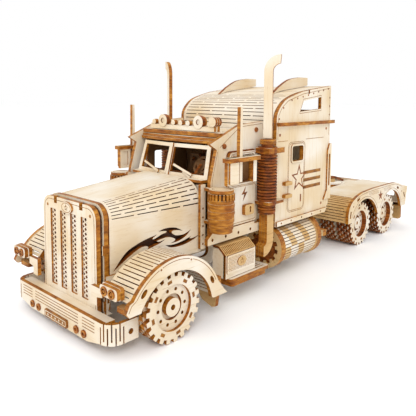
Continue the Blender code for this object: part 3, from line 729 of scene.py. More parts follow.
def build_wheel(name, body, dual):
    """One wheel, or a twin pair: tyres, rim disc with holes, hub discs and wall marks."""
    low, high = span(name + "_wheel_left")
    out, inner = high.x, low.x
    y, radius = AXLES[body].y - FRONT_AXLE, AXLES[body].z
    hub = (y, radius)
    layers = {"slot": "wheel_layers", "paired": True}
    bm = bmesh.new()
    if dual:
        groove = 0.8
        middle = (out + inner) / 2
        add_tyre(bm, out, middle + groove, 5, 7.3, radius, 4)
        add_tyre(bm, middle - groove, inner, 5, 7.3, radius, 0, 0.25)
        add_turned(bm, "X", (middle, 0, radius), pipe(2.2, 8.0, -groove, groove), 40, True)
    else:
        add_tyre(bm, out, inner, 4, 7.77, radius, 2)
    bmesh.ops.translate(bm, vec=(0, y, 0), verts=bm.verts[:])
    finish = DARK if dual else FINISH["X"]
    publish(name + "_tyre", bm, finish, body, [name + "_wheel"], **layers)
    bm = bmesh.new()
    holes = [disc(spot, 0.62, 14) for spot in disc(hub, 5.9, 10)]
    holes.append(disc(hub, 4.4, 32))
    level = out - (2.6 if dual else 1.2)
    add_board(bm, "X", level - 0.8, disc(hub, 7.25 if dual else 7.75, 48), holes, 1.6)
    publish(name + "_rim", bm, FINISH["X"], body, **layers)
    bm = bmesh.new()
    add_board(bm, "X", level - 1.5, disc(hub, 4.4, 32), [disc(hub, 1.5, 24)], 0.4)
    add_board(bm, "X", level - 0.3, disc(hub, 3.1, 32), [disc(hub, 0.95, 18)], 2.0)
    publish(name + "_hub", bm, FINISH["X"], body, **layers)
    bm = bmesh.new()
    for k in range(8):
        a = math.radians(45 * k + 12)
        along, across = Vector((-math.sin(a), math.cos(a))), Vector((math.cos(a), math.sin(a)))
        mark = [Vector(hub) + across * (9.1 + t * 0.55) + along * s * 0.95
                for s, t in ((-1, -1), (1, -1), (1, 1), (-1, 1))]
        add_board(bm, "X", out, mark, thickness=ETCH)
    publish(name + "_wall_marks", bm, LINES, body, slot="burnt_edge", paired=True)


def build_running_gear():
    """Front wheels, twin rear wheels and the turned dowels they sit on, with eased ends."""
    for name in ("front", "mid", "rear"):
        build_wheel(name, name + "_axle_set", name != "front")
    for dowel in ("front_axle", "mid_axle", "rear_axle"):
        body = dowel + "_set"
        half = span(dowel)[1].x - 2.2
        bm = bmesh.new()
        add_turned(bm, "X", (0, AXLES[body].y - FRONT_AXLE, AXLES[body].z),
                   [(0, -half), (1.2, -half), (1.5, -half + 0.3), (1.5, half - 0.3), (1.2, half), (0, half)],
                   24)
        publish(dowel + "_dowel", bm, (DOWEL, DOWEL), body, [dowel], "dowel")


# ---------------------------------------------------------------- chassis

def build_chassis():
    """Rails with lightening holes, floor, rear deck, fifth wheel and tail board."""
    bores = [disc((AXLES[axle].y - FRONT_AXLE, AXLES[axle].z), 1.8, 24) for axle in AXLES]
    lights = [box(y, 12.6, y + 11.0, 18.2, 2.4) for y in (16, 34, 52, 70, 88, 106, 124, 156, 190)]
    fitted_board("rail", "rail", "X", holes=bores + lights, paired=True)
    fitted_board("cab_floor", "floor_board", "Z")
    slots = [box(-3.6, y, 3.6, y + 5.0, 1.0) for y in (116, 126, 136, 174, 184, 194)]
    fitted_board("rear_deck_board", "rear_deck", "Z", holes=slots)
    bm = bmesh.new()
    low, high = span("fifth_wheel")
    y, half = low.y + 9.5, 2.5
    plate = arc((0, y), 9.5, 115, 425, 48) + [(half, y + 5.0), (half, y), (-half, y), (-half, y + 5.0)]
    step = (high.z - low.z) / 3
    for k in range(3):
        add_board(bm, "Z", low.z + step * (k + 0.5), plate, thickness=step - 0.02)
    publish("coupling_plate", bm, FINISH["Z"], stands_for=["fifth_wheel"])
    mouth = [(-6.5, y - 2.5), (-3.6, y - 5.2), (3.6, y - 5.2), (6.5, y - 2.5)]
    engrave("coupling_lines", "Z", high.z, [arc((0, y), 7.9, 125, 415, 40), mouth])
    low, high = span("tail_board")
    tail = box(low.x, low.z, high.x, high.z, 1.2)
    windows = [box(x - 4.5, 17.4, x + 4.5, 21.6, 1.4) for x in (-17.5, 17.5)]
    fitted_board("tail_cross_board", "tail_board", "Y", tail, windows)
    bm = bmesh.new()
    for y in (112.0, 132.0):
        add_board(bm, "Y", y, box(-5.6, 10.5, 5.6, 21.5), [box(-3.0, 13.0, 3.0, 19.0, 1.0)])
    for y in (30.0, 62.0, 92.0):
        add_board(bm, "Y", y, box(-5.6, 10.5, 5.6, 21.5))
    publish("rail_cross_boards", bm, DARK)
    bm = bmesh.new()
    for x in (-16, 16):
        add_board(bm, "Y", 113.5, box(x - 8.5, 10.5, x + 8.5, 13.7), thickness=3.2)
    publish("tank_stub_bars", bm, (DOWEL, EDGE))


# ---------------------------------------------------------------- cab

CAB_WINDOW = box(38.5, 46.5, 52.2, 57.8, 1.2)
SCREEN_AT, SCREEN_LEAN, SCREEN_SWEEP = Vector((0, 30.1, 55.0)), -15.1, 5.5


def add_screen_board(bm, outline, holes, thickness, proud, sides=(-1, 1)):
    """A sheet on both halves of the swept, leaning windscreen, x counted outward from its middle."""
    for side in sides:
        turn = (SCREEN_LEAN, 0, side * SCREEN_SWEEP)
        lean = Euler([math.radians(a) for a in turn]).to_matrix()
        at = SCREEN_AT + lean @ Vector((0, -proud, 0))
        sided = outline if side > 0 else flip(outline)
        cut = [hole if side > 0 else flip(hole) for hole in holes]
        add_board(bm, "Y", 0, sided, cut, thickness, turn, at)


def build_cab():
    """Side panels, doors, windscreen, dashboard, seats, visor and roof."""
    panel = [(27.4, 25.0), (61.2, 25.0), (61.2, 64.3), (59.2, 70.4), (44.0, 69.5)]
    panel += curve([(27.0, 62.8), (28.4, 61.9), (30.8, 60.5)], 3) + [(27.4, 48.5)]
    face = fitted_board("cab_side_panel", "cab_side", "X", panel, [CAB_WINDOW], finish=UPRIGHT, paired=True)
    one_board("door_gap", "X", face, box(36.2, 29.5, 54.5, 59.5, 1.9), [box(36.9, 30.2, 53.8, 58.8, 1.5)],
              ETCH, DEEP_BROWN, slot="burnt_edge", paired=True)
    post = [(28.2, 26.0), (28.2, 48.6), (31.2, 59.8)]
    cant = [(32.5, 61.3), (44.2, 68.7), (58.8, 69.6), (60.4, 64.2)]
    engrave("cab_side_lines", "X", face, [post, cant], 0.2, paired=True)
    face = fitted_board("door_skin", "door", "X", box(36.7, 30.0, 54.0, 59.0, 1.6), [CAB_WINDOW],
                        thickness=1.0, finish=UPRIGHT, paired=True)
    borders = [box(37.5, 30.8, 53.2, 45.2, 1.0), box(37.6, 45.7, 53.1, 58.4, 1.4)]
    engrave("door_lines", "X", face, [closed(border) for border in borders], 0.2, paired=True)
    bolt = [(46.9, 45.0), (44.1, 41.6), (45.9, 41.8), (45.0, 38.9), (47.9, 42.6), (46.1, 42.4)]
    one_board("door_bolt_mark", "X", face, bolt, (), ETCH, DEEP_BROWN, slot="burnt_edge", paired=True)
    keyhole = arc((48.0, 36.2), 0.6, -60, 240, 12) + [(47.5, 34.4), (48.5, 34.4)]
    one_board("door_lock_plate", "X", face + 0.8, box(44.6, 33.4, 50.4, 37.6, 0.8), [keyhole],
              finish=DARK_TAN_BOARD, paired=True)
    sill = [(24.0, 25.3), (58.0, 25.3), (58.0, 29.6), (55.6, 29.6), (55.6, 28.8), (52.0, 28.8), (52.0, 29.8),
            (34.0, 29.8), (34.0, 28.8), (30.0, 28.8), (30.0, 29.8), (27.0, 29.8), (24.0, 27.5)]
    pins = [disc((y, 27.0), 0.6, 14) for y in (26.6, 34.2, 41.8, 49.4, 56.0)]
    one_board("door_sill", "X", 25.9, sill, pins, paired=True)
    build_screen()
    build_cab_inside()
    build_cab_top()


def build_screen():
    """Two-pane windscreen with a centre post and two wipers, the cowl's strips and its bulkhead."""
    bm = bmesh.new()
    frame_half = [(0.0, -6.8), (20.6, -6.8), (20.0, 6.6), (0.0, 6.6)]
    pane = [(1.1, -5.2), (18.7, -5.2), (18.2, 5.1), (1.1, 5.1)]
    add_screen_board(bm, frame_half, [pane], 1.2, 0.0)
    publish("windscreen_boards", bm, ACROSS, stands_for=["windscreen_frame"])
    bm = bmesh.new()
    add_screen_board(bm, [(-0.2, -6.9), (0.9, -6.9), (0.9, 6.6), (-0.2, 6.6)], [], 0.8, 0.95)
    publish("windscreen_post", bm, UPRIGHT)
    bm = bmesh.new()
    for side, arm, blade in ((1, [(12.4, -6.6), (8.2, -4.6)], [(3.2, -2.2), (13.4, -5.6)]),
                             (-1, [(6.0, -6.6), (9.6, -4.6)], [(15.8, -2.6), (4.8, -5.8)])):
        add_screen_board(bm, stroke(arm, 0.8), [], 0.5, 0.9, (side,))
        add_screen_board(bm, stroke(blade, 0.9), [], 0.5, 1.45, (side,))
    publish("wipers", bm, ACROSS)
    cowl = [(-20.8, 26.6), (0.0, 24.6), (20.8, 26.6), (21.2, 29.9), (0.0, 28.2), (-21.2, 29.9)]
    one_board("cowl_strip", "Z", 48.35, cowl, (), 1.0, ACROSS)
    holes = [disc((25.7, z), 0.45, 12) for z in (25.0, 28.4, 31.8, 35.2, 38.6)]
    one_board("cowl_side_strip", "X", 22.0, box(24.4, 23.0, 27.0, 47.8, 0.4), holes, 1.2, UPRIGHT,
              paired=True)
    one_board("scuttle_board", "Y", 28.3, box(-20.3, 23.6, 20.3, 46.8, 2.0))


def build_cab_inside():
    """Dashboard, steering wheel on its column, and two seats."""
    # painted shade: every board inside the cab gets the dark brown finish
    low, high = span("dashboard")
    bm = bmesh.new()
    add_board(bm, "Y", 34.0, box(low.x, 40.0, high.x, 49.5, 0.8), [box(-8.0, 42.5, 0.0, 46.5, 0.6)])
    column = [(34.0, 48.0), (36.0, 48.0), (39.2, 51.6), (38.0, 53.0), (34.0, 49.0)]
    add_board(bm, "X", 9.5, column, thickness=1.4)
    gaps = []
    for a in (math.radians(90), math.radians(210), math.radians(330)):
        x, z = 0.9 * math.cos(a), 0.9 * math.sin(a)
        turns = ((a - 0.85, 2.2), (a - 0.4, 2.2), (a, 2.25), (a + 0.4, 2.2), (a + 0.85, 2.2))
        gaps.append([(x + r * math.cos(b), z + r * math.sin(b)) for b, r in turns])
    add_board(bm, "Y", 0, disc((0, 0), 4.1, 36), gaps, 0.9, (-30, 0, 0), (9.5, 38.6, 52.3))
    publish("dashboard_and_wheel", bm, CAB_INSIDE_SHADE, stands_for=["dashboard"])
    bm = bmesh.new()
    for x in (-10.0, 10.0):
        seat = [(x - 5.2, 28.0), (x + 5.2, 28.0), (x + 5.2, 46.0), (x + 3.4, 50.0), (x + 2.6, 54.5),
                (x - 2.6, 54.5), (x - 3.4, 50.0), (x - 5.2, 46.0)]
        add_board(bm, "Y", 55.0, seat, [box(x - 1.6, 51.0, x + 1.6, 53.0, 0.5)], 1.6)
        add_board(bm, "Z", 36.0, box(x - 5.2, 43.5, x + 5.2, 54.0, 1.6), [], 1.6)
        add_board(bm, "Y", 46.0, box(x - 4.2, 24.6, x + 4.2, 35.0), [], 1.6)
    publish("seats", bm, CAB_INSIDE_SHADE)
    one_board("cab_lining", "X", 22.6, box(36.5, 24.8, 60.8, 64.5), [box(40.5, 47.5, 48.5, 56.0, 0.8)], 0.8,
              CAB_INSIDE_SHADE, paired=True)
    bm = bmesh.new()
    add_board(bm, "Y", 62.2, box(-22.9, 25.6, 22.9, 66.3), [box(-12, 42, 12, 60, 2.0)], 1.4)
    add_board(bm, "Z", 64.3, box(-22.4, 36.0, 22.4, 61.4), thickness=0.6)
    publish("cab_back_and_headlining", bm, CAB_INSIDE_SHADE)


def build_cab_top():
    """Sun visor, roof board, side bolts, lamp bar with ringed lamps, marker lamps and horn."""
    low, high = span("visor")
    bm = bmesh.new()
    for k, reach in enumerate((0.0, 0.7)):
        sheet = [(-22.7, low.y + 1.8 + reach), (-11.0, low.y + 0.3 + reach), (11.0, low.y + 0.3 + reach),
                 (22.7, low.y + 1.8 + reach), (22.7, high.y), (-22.7, high.y)]
        add_board(bm, "Z", low.z + 0.6 + 1.15 * k, sheet, [], 1.1)
    publish("sun_visor", bm, ACROSS, stands_for=["visor"])
    low, high = span("cab_roof")
    slots = []
    for k in range(10):
        x, odd = (-21 + 1.4 * k if k < 5 else 8.4 + 1.4 * k), k % 2
        slots.append(box(x - SLIT / 2, 40.0 + 4.2 * odd, x + SLIT / 2, 55.0 + 3.2 * odd))
    fitted_board("cab_roof_board", "cab_roof", "Z", box(low.x, low.y, high.x, high.y + 2.4), slots)
    bm = bmesh.new()
    for y, z in ((34.8, 61.6), (54.5, 67.2)):
        add_turned(bm, "X", (24.8, y, z), [(0, 0.7), (0.75, 0.7), (1.0, 0.45), (1.0, 0.0), (0, 0)], 20)
    publish("cab_side_bolts", bm, DEEP_BROWN, slot="burnt_edge", paired=True)
    low, high = span("roof_lamps")
    lamp = arc((10.6, 70.3), 2.3, -38, 218, 22)
    bar = [(-19.8, 66.8), (19.8, 66.8), (19.8, 69.0), *lamp, *flip(lamp), (-19.8, 69.0)]
    middle = (low.y + high.y) / 2
    bm = bmesh.new()
    add_board(bm, "Y", middle + 0.75, bar, thickness=1.4)
    add_board(bm, "Y", middle - 0.55, box(-19.0, 66.8, 19.0, 68.6), thickness=1.2)
    publish("lamp_bar", bm, ACROSS, stands_for=["roof_lamps"])
    rings, lamps = bmesh.new(), bmesh.new()
    for x in (-10.6, 10.6):
        add_turned(rings, "Y", (x, middle, 70.3), pipe(1.15, 2.65, -1.5, 0.2), 32, True)
        add_turned(lamps, "Y", (x, middle, 70.3), rod(1.2, -1.0, 0.0), 20)
    bullet = [(0, -0.9), (0.8, -0.9), (1.15, -0.6), (1.15, 1.2), (0, 1.2)]
    for x in (-16.6, -4.4, 0.0, 4.4, 16.6):
        add_turned(lamps, "Y", (x, middle - 0.6, 69.6), bullet, 20)
    publish("roof_lamp_rings", rings, (FACE["X"], DARK_EDGE))
    publish("marker_lamps", lamps, ACROSS)
    bm = bmesh.new()
    for k in range(3):
        add_turned(bm, "Y", (18.6, middle - 1.3 + 1.3 * k, 70.6), rod(1.9, 0.5, -0.5), 24)
    publish("horn_stack", bm, (FACE["X"], DARK_EDGE))
    build_mirrors()


def build_mirrors():
    """Mirror head on its arm, with the aerial rod and the rear strut."""
    board = [(27.5, 56.6), (27.9, 56.6), (27.9, 48.0), (33.5, 48.0), (33.5, 56.6), (34.7, 56.6), (34.7, 48.7),
             (36.3, 48.7), (36.3, 56.6), (43.0, 56.6), (43.0, 48.0), (45.0, 48.0), (45.0, 58.2), (36.3, 58.2),
             (36.1, 76.7), (34.9, 76.7), (34.7, 58.2), (27.5, 58.2)]
    bm = bmesh.new()
    middle = span("mirror_left")[1].x - PLY / 2
    add_board(bm, "X", middle, board, [box(29.2, 49.4, 32.2, 55.6, 0.5)])
    add_board(bm, "Z", 57.4, box(26.5, 38.4, middle, 41.2), thickness=1.0)
    publish("mirror_board", bm, UPRIGHT, stands_for=["mirror"], paired=True)
    one_board("mirror_plate", "X", middle, box(29.2, 49.4, 32.2, 55.6), (), 0.7, UPRIGHT, paired=True)
    bm = bmesh.new()
    add_board(bm, "Z", 57.4, box(30.6, 26.9, 34.6, 45.7, 0.9), [box(31.1, 34.6, 32.9, 36.5)], 1.6)
    add_board(bm, "X", 33.4, box(28.2, 48.6, 33.2, 56.6, 0.4), thickness=0.8)
    publish("mirror_top_bar", bm, LENGTHWISE, paired=True)


# ---------------------------------------------------------------- sleeper

ROOF_LINE = [(63.5, 69.0), (63.8, 73.1), (66.6, 76.9), (71.5, 80.0), (83.2, 83.1), (107.4, 86.1)]


def path_point(points, run, lift):
    """The point a run along a path, moved off it to its left."""
    for (u0, v0), (u1, v1) in zip(points, points[1:]):
        length = math.hypot(u1 - u0, v1 - v0)
        if run <= length or (u1, v1) == points[-1]:
            du, dv = (u1 - u0) / length, (v1 - v0) / length
            return u0 + du * run - dv * lift, v0 + dv * run + du * lift
        run -= length


def path_length(points):
    """How long a path is."""
    return sum(math.hypot(u1 - u0, v1 - v0) for (u0, v0), (u1, v1) in zip(points, points[1:]))


def build_sleeper():
    """Sleeper walls, bent roof, fins and every trim board on them."""
    window = box(75.3, 52.5, 84.0, 59.2, 1.0)
    skylight = [(81.0, 74.2), (99.0, 75.3), (99.0, 80.8), (84.1, 79.0)]
    outline = [(63.5, 25.3), (104.2, 25.3), (107.9, 29.0), (107.9, 86.2), (88.9, 83.9), (88.9, 82.2),
               (87.7, 82.1), (87.7, 83.7)] + curve(ROOF_LINE[::-1][1:], 4)
    face = fitted_board("sleeper_side_panel", "sleeper_side", "X", outline, [window, skylight],
                        finish=UPRIGHT, paired=True)
    border = [(64.5, 62.6), (64.5, 68.6), (64.9, 72.8), (67.3, 76.2), (71.8, 79.0), (83.5, 82.1),
              (106.8, 85.0), (106.8, 62.6)]
    lines = [closed(box(72.5, 30.0, 85.9, 61.0, 2.2)), closed(box(73.1, 30.6, 85.3, 60.4, 1.8)), border,
             [(64.5, 61.8), (72.0, 61.8)], [(86.4, 61.8), (102.0, 61.8)],
             closed(offset(skylight, -0.8, closed=True))]
    engrave("sleeper_lines", "X", face, lines, paired=True)
    stripes = [[(85.0, z), (100.0, z)] for z in (46.4, 43.0, 39.7)]
    engrave("sleeper_stripes", "X", face, stripes, 1.5, paired=True)
    bm = bmesh.new()
    add_board(bm, "X", face + 0.04, star((81.4, 44.6), 6.3), [star((81.4, 44.6), 4.7)], ETCH)
    add_board(bm, "X", face, box(82.6, 33.6, 83.6, 37.0, 0.2), thickness=ETCH)
    add_dots(bm, face, [(104.3, 65.9), (101.3, 30.1), (66.0, 64.5)], 0.65, 14)
    rivets = [(65.2, 71.4), (68.3, 76.0)] + [(74.5 + 4.4 * k, 79.3 + 0.78 * k) for k in range(8)]
    rivets += [(106.9, 72.5 + 4.0 * k) for k in range(3)]
    add_dots(bm, face, rivets, 0.45)
    publish("sleeper_star", bm, DEEP_BROWN, slot="burnt_edge", paired=True)
    build_sleeper_trim(face, window)
    build_sleeper_roof()


def build_sleeper_trim(face, window):
    """Skirt, drip strip, hinges, corner rail and window rim on the sleeper's side."""
    skirt = [(64.0, 25.4), (103.8, 25.4), (105.6, 27.4), (64.0, 27.4)]
    pins = [disc((y, 26.4), 0.45, 10) for y in (67.2, 74.8, 83.3, 91.9, 99.8)]
    one_board("sleeper_skirt", "X", face + 0.4, skirt, pins, THIN, paired=True)
    one_board("sleeper_drip_strip", "Z", 69.1, box(face - 0.1, 63.6, face + 1.7, 109.7, 0.3), paired=True)
    bm = bmesh.new()
    for z in (43.4, 37.9):
        add_board(bm, "X", face + 0.9, box(68.4, z - 0.8, 73.6, z + 0.8, 0.5), thickness=1.8)
    publish("sleeper_hinges", bm, DARK_TAN_BOARD, paired=True)
    rail = [(102.6, 31.6), (108.7, 31.6), (108.7, 58.5), (107.0, 58.5), (105.4, 55.0), (105.4, 36.0)]
    one_board("sleeper_corner_rail", "X", face + 0.4, rail, [box(106.3, 38.0, 107.6, 53.5, 0.4)], THIN,
              UPRIGHT, paired=True)
    one_board("sleeper_window_rim", "X", face + 0.2, box(74.5, 51.7, 84.8, 60.0, 1.5), [window], 0.4, DARK,
              paired=True)


def build_sleeper_roof():
    """Roof sheet bent over the nose with its staggered slits, end walls and fins."""
    half, length = span("sleeper_roof")[1].x, path_length(ROOF_LINE)
    slits = []
    for row in range(11):
        run = 1.6 + row * 1.8
        for k in range(-1, 4):
            start = -half + 1.4 + k * 16.6 + (8.3 if row % 2 else 0.0)
            x0, x1 = max(start, -half + 1.4), min(start + 15.4, half - 1.4)
            if x1 - x0 > 2:
                slits.append(box(x0, run - HINGE / 2, x1, run + HINGE / 2))
    bm = bmesh.new()
    add_board(bm, "Z", 0, box(-half, 0, half, length), slits)
    slice_board(bm, "Y", [length * i / 40 for i in range(1, 40)])
    smooth = curve(ROOF_LINE, 6)
    factor = path_length(smooth) / length

    def over(u, v, w):
        """Bend the flat roof over the sleeper's profile."""
        y, z = path_point(smooth, v * factor, w - PLY / 2)
        return Vector((u, max(y, 63.5), z))

    bend(bm, over)
    publish("sleeper_roof_sheet", bm, (FACE["X"], DARK_EDGE), stands_for=["sleeper_roof"], slot="bent_sheet")
    bm = bmesh.new()
    edge = half - 2.4
    line = [(-edge, 84.0), (-edge, 105.0), (edge, 105.0), (edge, 84.0), (-edge, 84.0)]
    add_board(bm, "Z", 0, stroke(line, 0.3), thickness=ETCH)
    (y0, z0), (y1, z1) = ROOF_LINE[-2:]
    for vert in bm.verts:
        vert.co.z += z0 + (vert.co.y - y0) * (z1 - z0) / (y1 - y0) + 0.02
    publish("sleeper_roof_line", bm, LINES, slot="burnt_edge")
    fin = [(77.0, 81.9), (83.2, 83.5), (106.0, 86.4), (106.0, 90.2)]
    fin += curve([(99.0, 90.2), (90.0, 88.8), (82.0, 85.2)], 4)
    fitted_board("roof_fin_board", "roof_fin", "X", fin, finish=DARK, paired=True)
    fitted_board("sleeper_front_wall", "sleeper_front", "Y", holes=[box(-12, 42, 12, 60, 2.0)])
    windows = [box(10, 74.5, 24.5, 81.2), box(-24.5, 74.5, -10, 81.2)]
    face = fitted_board("sleeper_back_wall", "sleeper_back", "Y", holes=windows, finish=UPRIGHT)
    panels = [box(-24, 29, -1.5, 66, 2), box(1.5, 29, 24, 66, 2), box(-25.6, 70, 25.6, 82.6, 2)]
    engrave("sleeper_back_lines", "Y", face, [closed(panel) for panel in panels], 0.25)


# ---------------------------------------------------------------- side fittings

STACK_AT, STACK_TURN, STACK_HALF, STACK_CURL = (29.5, 56.4), 26.5, 1.77, (5.0, 90.73)


def build_exhausts():
    """Curved flat stacks, ringed silencers, their clamps and elbows."""
    x, y = STACK_AT
    reach = STACK_CURL[0]
    outline = [(-STACK_HALF, 63.9), (STACK_HALF, 63.9)]
    outline += arc(STACK_CURL, reach - STACK_HALF, 180, 95, 16)
    outline += arc(STACK_CURL, reach + STACK_HALF, 90, 180, 20)
    bm = bmesh.new()
    add_board(bm, "Y", 0, outline, turn=(0, 0, STACK_TURN), at=(x, y, 0))
    publish("stack_board", bm, UPRIGHT, stands_for=["stack"], paired=True)
    profile = [(0, 63.5), (1.6, 63.5), (3.1, 63.4), (3.1, 61.7), (2.6, 61.6), (2.6, 60.4), (4.0, 60.4),
               (4.0, 57.6)]
    z = 57.5
    while z > 38.8:
        profile += [(3.35, z), (3.35, z - 0.4), (4.1, z - 0.45), (4.1, z - 1.15)]
        z -= 1.2
    profile += [(4.1, 38.4), (4.1, 36.9), (3.4, 36.8)]
    z = 36.8
    while z > 33.4:
        profile += [(3.7, z - 0.1), (3.7, z - 0.75), (3.2, z - 0.8), (3.2, z - 1.1)]
        z -= 1.15
    profile += [(3.5, 32.9), (0, 32.9)]
    bm = bmesh.new()
    add_turned(bm, "Z", (x, y, 0), profile[::-1], 44)
    publish("silencer_rings", bm, DEEP_BROWN, stands_for=["silencer"], slot="wheel_layers", paired=True)
    bm = bmesh.new()
    for k in range(3):
        add_turned(bm, "Z", (x, y, 62.55), rod(3.25, 0.8 - 0.6 * k, 0.3 - 0.6 * k), 36)
    publish("silencer_collar", bm, FINISH["Z"], slot="wheel_layers", paired=True)
    bm = bmesh.new()
    for z, thickness in ((59.0, 2.2), (37.6, 1.2)):
        add_board(bm, "Z", z, box(x - 3.4, y - 3.9, x + 3.9, y + 7.0, 0.6), thickness=thickness)
    publish("silencer_clamps", bm, FINISH["Z"], paired=True)
    elbow = [(y - 2.2, 33.0), (y + 2.2, 33.0)] + arc((y - 4.2, 22.0), 6.4, 0, -90, 10)
    elbow += arc((y - 4.2, 22.0), 2.0, -90, 0, 8)
    bm = bmesh.new()
    for k in range(3):
        add_board(bm, "X", x - 1.4 + 1.4 * k, elbow, thickness=1.3)
    publish("silencer_elbow", bm, DARK_TAN_BOARD, slot="wheel_layers", paired=True)


def add_slat(bm, hub, turn, start, end, half, thickness, lift):
    """One slat of a drum that lies along y: a strip, turned round the hub and lifted off it."""
    verts = add_board(bm, "Z", 0, box(-half, start, half, end), thickness=thickness)
    spin = Matrix.Translation((hub[0], 0, hub[1])) @ Matrix.Rotation(turn, 4, "Y")
    bmesh.ops.transform(bm, matrix=spin @ Matrix.Translation((0, 0, lift)), verts=verts)


def build_tanks():
    """Fuel tanks: edge-on slats round a drum between two sets of flanges, with filler caps."""
    low, high = span("fuel_tank_left")
    x, z = (low.x + high.x) / 2, (low.z + high.z) / 2
    front, rear, count = low.y, high.y, 38
    slats, toning = bmesh.new(), bmesh.new()
    for k in range(count):
        turn = 2 * math.pi * k / count
        add_slat(slats, (x, z), turn, front + 1.2, rear - 1.2, 0.55, 1.2, 8.0)
        for band in (4.0, 14.5):
            start = front + band + 0.55 * (k % 10)
            add_slat(toning, (x, z), turn, start, start + 4.6, 0.53, ETCH, 8.6)
    publish("tank_slats", slats, DARK, stands_for=["fuel_tank"], slot="bent_sheet", paired=True)
    # painted shade: a dark drum seen only through the gaps between the slats
    bm = bmesh.new()
    add_turned(bm, "Y", (x, 0, z), rod(7.3, front + 1.0, rear - 1.0), 40)
    publish("tank_core", bm, DEEP_BROWN, slot="burnt_edge", paired=True)
    bm = bmesh.new()
    crown = gear((x, z), 7.4, 1.3, 12)
    for first, step in ((front + 0.55, 1.1), (rear - 0.55, -1.1)):
        for k in range(3):
            add_board(bm, "Y", first + step * k, disc((x, z), 9.4, 56), () if k else [crown], 1.05)
    publish("tank_flanges", bm, DARK_TAN_BOARD, paired=True)
    publish("tank_slat_toning", toning, (DARK_TAN, DARK_TAN), slot="burnt_edge", paired=True)
    bm = bmesh.new()
    add_turned(bm, "Z", (x + 1.0, front + 5.4, z + 9.0), rod(1.2, 0.4, -0.9), 20)
    publish("tank_caps", bm, FINISH["Z"], paired=True)


def build_filters():
    """Air filters: stacked plies with a slotted band and a pale cap."""
    low, high = span("air_filter_left")
    x, y = (low.x + high.x) / 2, (low.y + high.y) / 2
    bm = bmesh.new()
    for k in range(8):
        level = 32.2 + 1.36 * k
        radius = 5.0 - 0.012 * (level - 38.5) ** 2 - 0.14 * (k % 2)
        add_board(bm, "Z", level + 0.68, disc((x, y), radius, 48), thickness=1.3)
    add_board(bm, "Z", 31.5, disc((x, y), 4.2, 44), thickness=1.3)
    publish("filter_layers", bm, FINISH["Z"], stands_for=["air_filter"], slot="wheel_layers", paired=True)
    one_board("filter_band", "Z", 44.1, gear((x, y), 5.0, 1.5, 22), (), 2.5, slot="wheel_layers", paired=True)
    # painted shade: a dark core inside the slotted band
    bm = bmesh.new()
    add_turned(bm, "Z", (x, y, 44.1), rod(3.7, 1.2, -1.2), 32)
    publish("filter_core", bm, OPENING_SHADE_FINISH, slot="burnt_edge", paired=True)
    one_board("filter_cap", "Z", 46.2, disc((x, y), 4.6, 48), (), 1.2, slot="wheel_layers", paired=True)
    engrave("filter_cap_ring", "Z", 46.8, [closed(disc((x, y), 3.4, 32))], 0.2, paired=True)
    bm = bmesh.new()
    for z, reach in ((46.0, 3.6), (33.6, 4.0)):
        add_board(bm, "Z", z, box(22.9, y - 1.6, x - reach, y + 1.6), thickness=1.0)
    publish("filter_brackets", bm, FINISH["Z"], paired=True)


def build_toolboxes():
    """Toolbox with a grooved slope and a hatched front, over its step board."""
    low, high = span("toolbox_left")
    middle = (low.y + high.y) / 2
    bm = bmesh.new()
    ends = [(24.3, 12.2), (30.4, 12.2), (30.4, 21.0), (27.2, 23.7), (24.3, 23.7)]
    for y in (low.y + 0.7, high.y - 0.7):
        add_board(bm, "Y", y, ends, thickness=1.4)
    add_board(bm, "X", 30.4, box(low.y, 12.2, high.y, 21.2), thickness=1.2)
    publish("toolbox_body", bm, FINISH["X"], stands_for=["toolbox"], paired=True)
    hatch = []
    near, far = low.y + 1.2, high.y - 1.2
    for k in range(22):
        y = near - 2.9 + k * 0.86
        foot, head = max(0.0, (near - y) / 3.4), min(1.0, (far - y) / 3.4)
        if foot < head:
            hatch.append([(y + 3.4 * share, 14.8 + 5.6 * share) for share in (foot, head)])
    front = box(low.y + 0.5, 14.0, high.y - 0.5, 21.1, 0.5)
    one_board("toolbox_front", "X", 31.15, front, (), 0.5, DARK, paired=True)
    engrave("toolbox_hatch", "X", 31.4, hatch, 0.2, paired=True)
    one_board("toolbox_badge", "X", 31.5, oval((middle, 17.6), 2.6, 1.9, 28), (), 0.35, (DARK_TAN, DARK_EDGE),
              paired=True)
    engrave("toolbox_badge_star", "X", 31.68, [closed(star((middle, 17.6), 1.3))], 0.2, paired=True)
    drop, reach = 3.0, 3.6
    half = math.hypot(reach, drop) / 2
    tilt = math.degrees(math.atan2(drop, reach))
    grooves = [box(-8.3 + 0.9 * k, 0.5 - half, -8.3 + 0.9 * k + SLIT, half - 0.5) for k in range(19)]
    slope, *grooves = [[(v, u) for u, v in loop[::-1]] for loop in [box(-8.9, -half, 8.9, half)] + grooves]
    bm = bmesh.new()
    add_board(bm, "Z", 0, slope, grooves, 0.9, (0, tilt, 0), (29.0, middle, 22.4))
    add_board(bm, "Z", 23.75, box(24.3, low.y, 27.3, high.y), thickness=0.9)
    publish("toolbox_lid", bm, (DARK_TAN, DARK_EDGE), paired=True)
    bm = bmesh.new()
    slots = [box(26.0 + 1.5 * k, 33.0, 26.5 + 1.5 * k, 53.0, 0.2) for k in range(4)]
    add_board(bm, "Z", 11.3, box(24.3, 31.0, 32.4, 55.0, 1.2), slots, thickness=1.4)
    add_board(bm, "Z", 9.5, box(24.3, 32.2, 31.8, 53.8, 1.2), thickness=1.6)
    add_board(bm, "X", 25.4, [(33.0, 10.6), (53.0, 10.6), (50.0, 8.2), (36.0, 8.2)], thickness=1.5)
    publish("step_board", bm, FINISH["Z"], paired=True)


# ---------------------------------------------------------------- rear wings

REAR_WING_TOP = [(125.2, 15.4), (125.2, 20.0), (126.2, 23.4), (128.9, 26.1), (133.9, 28.3), (140.8, 29.9),
                 (152.8, 30.5), (179.4, 30.4), (186.7, 29.7), (194.2, 27.5), (203.0, 25.6)]
MID_ARCH, REAR_ARCH = ((144.7, 9.0), 17.0), ((178.6, 11.0), 15.2)


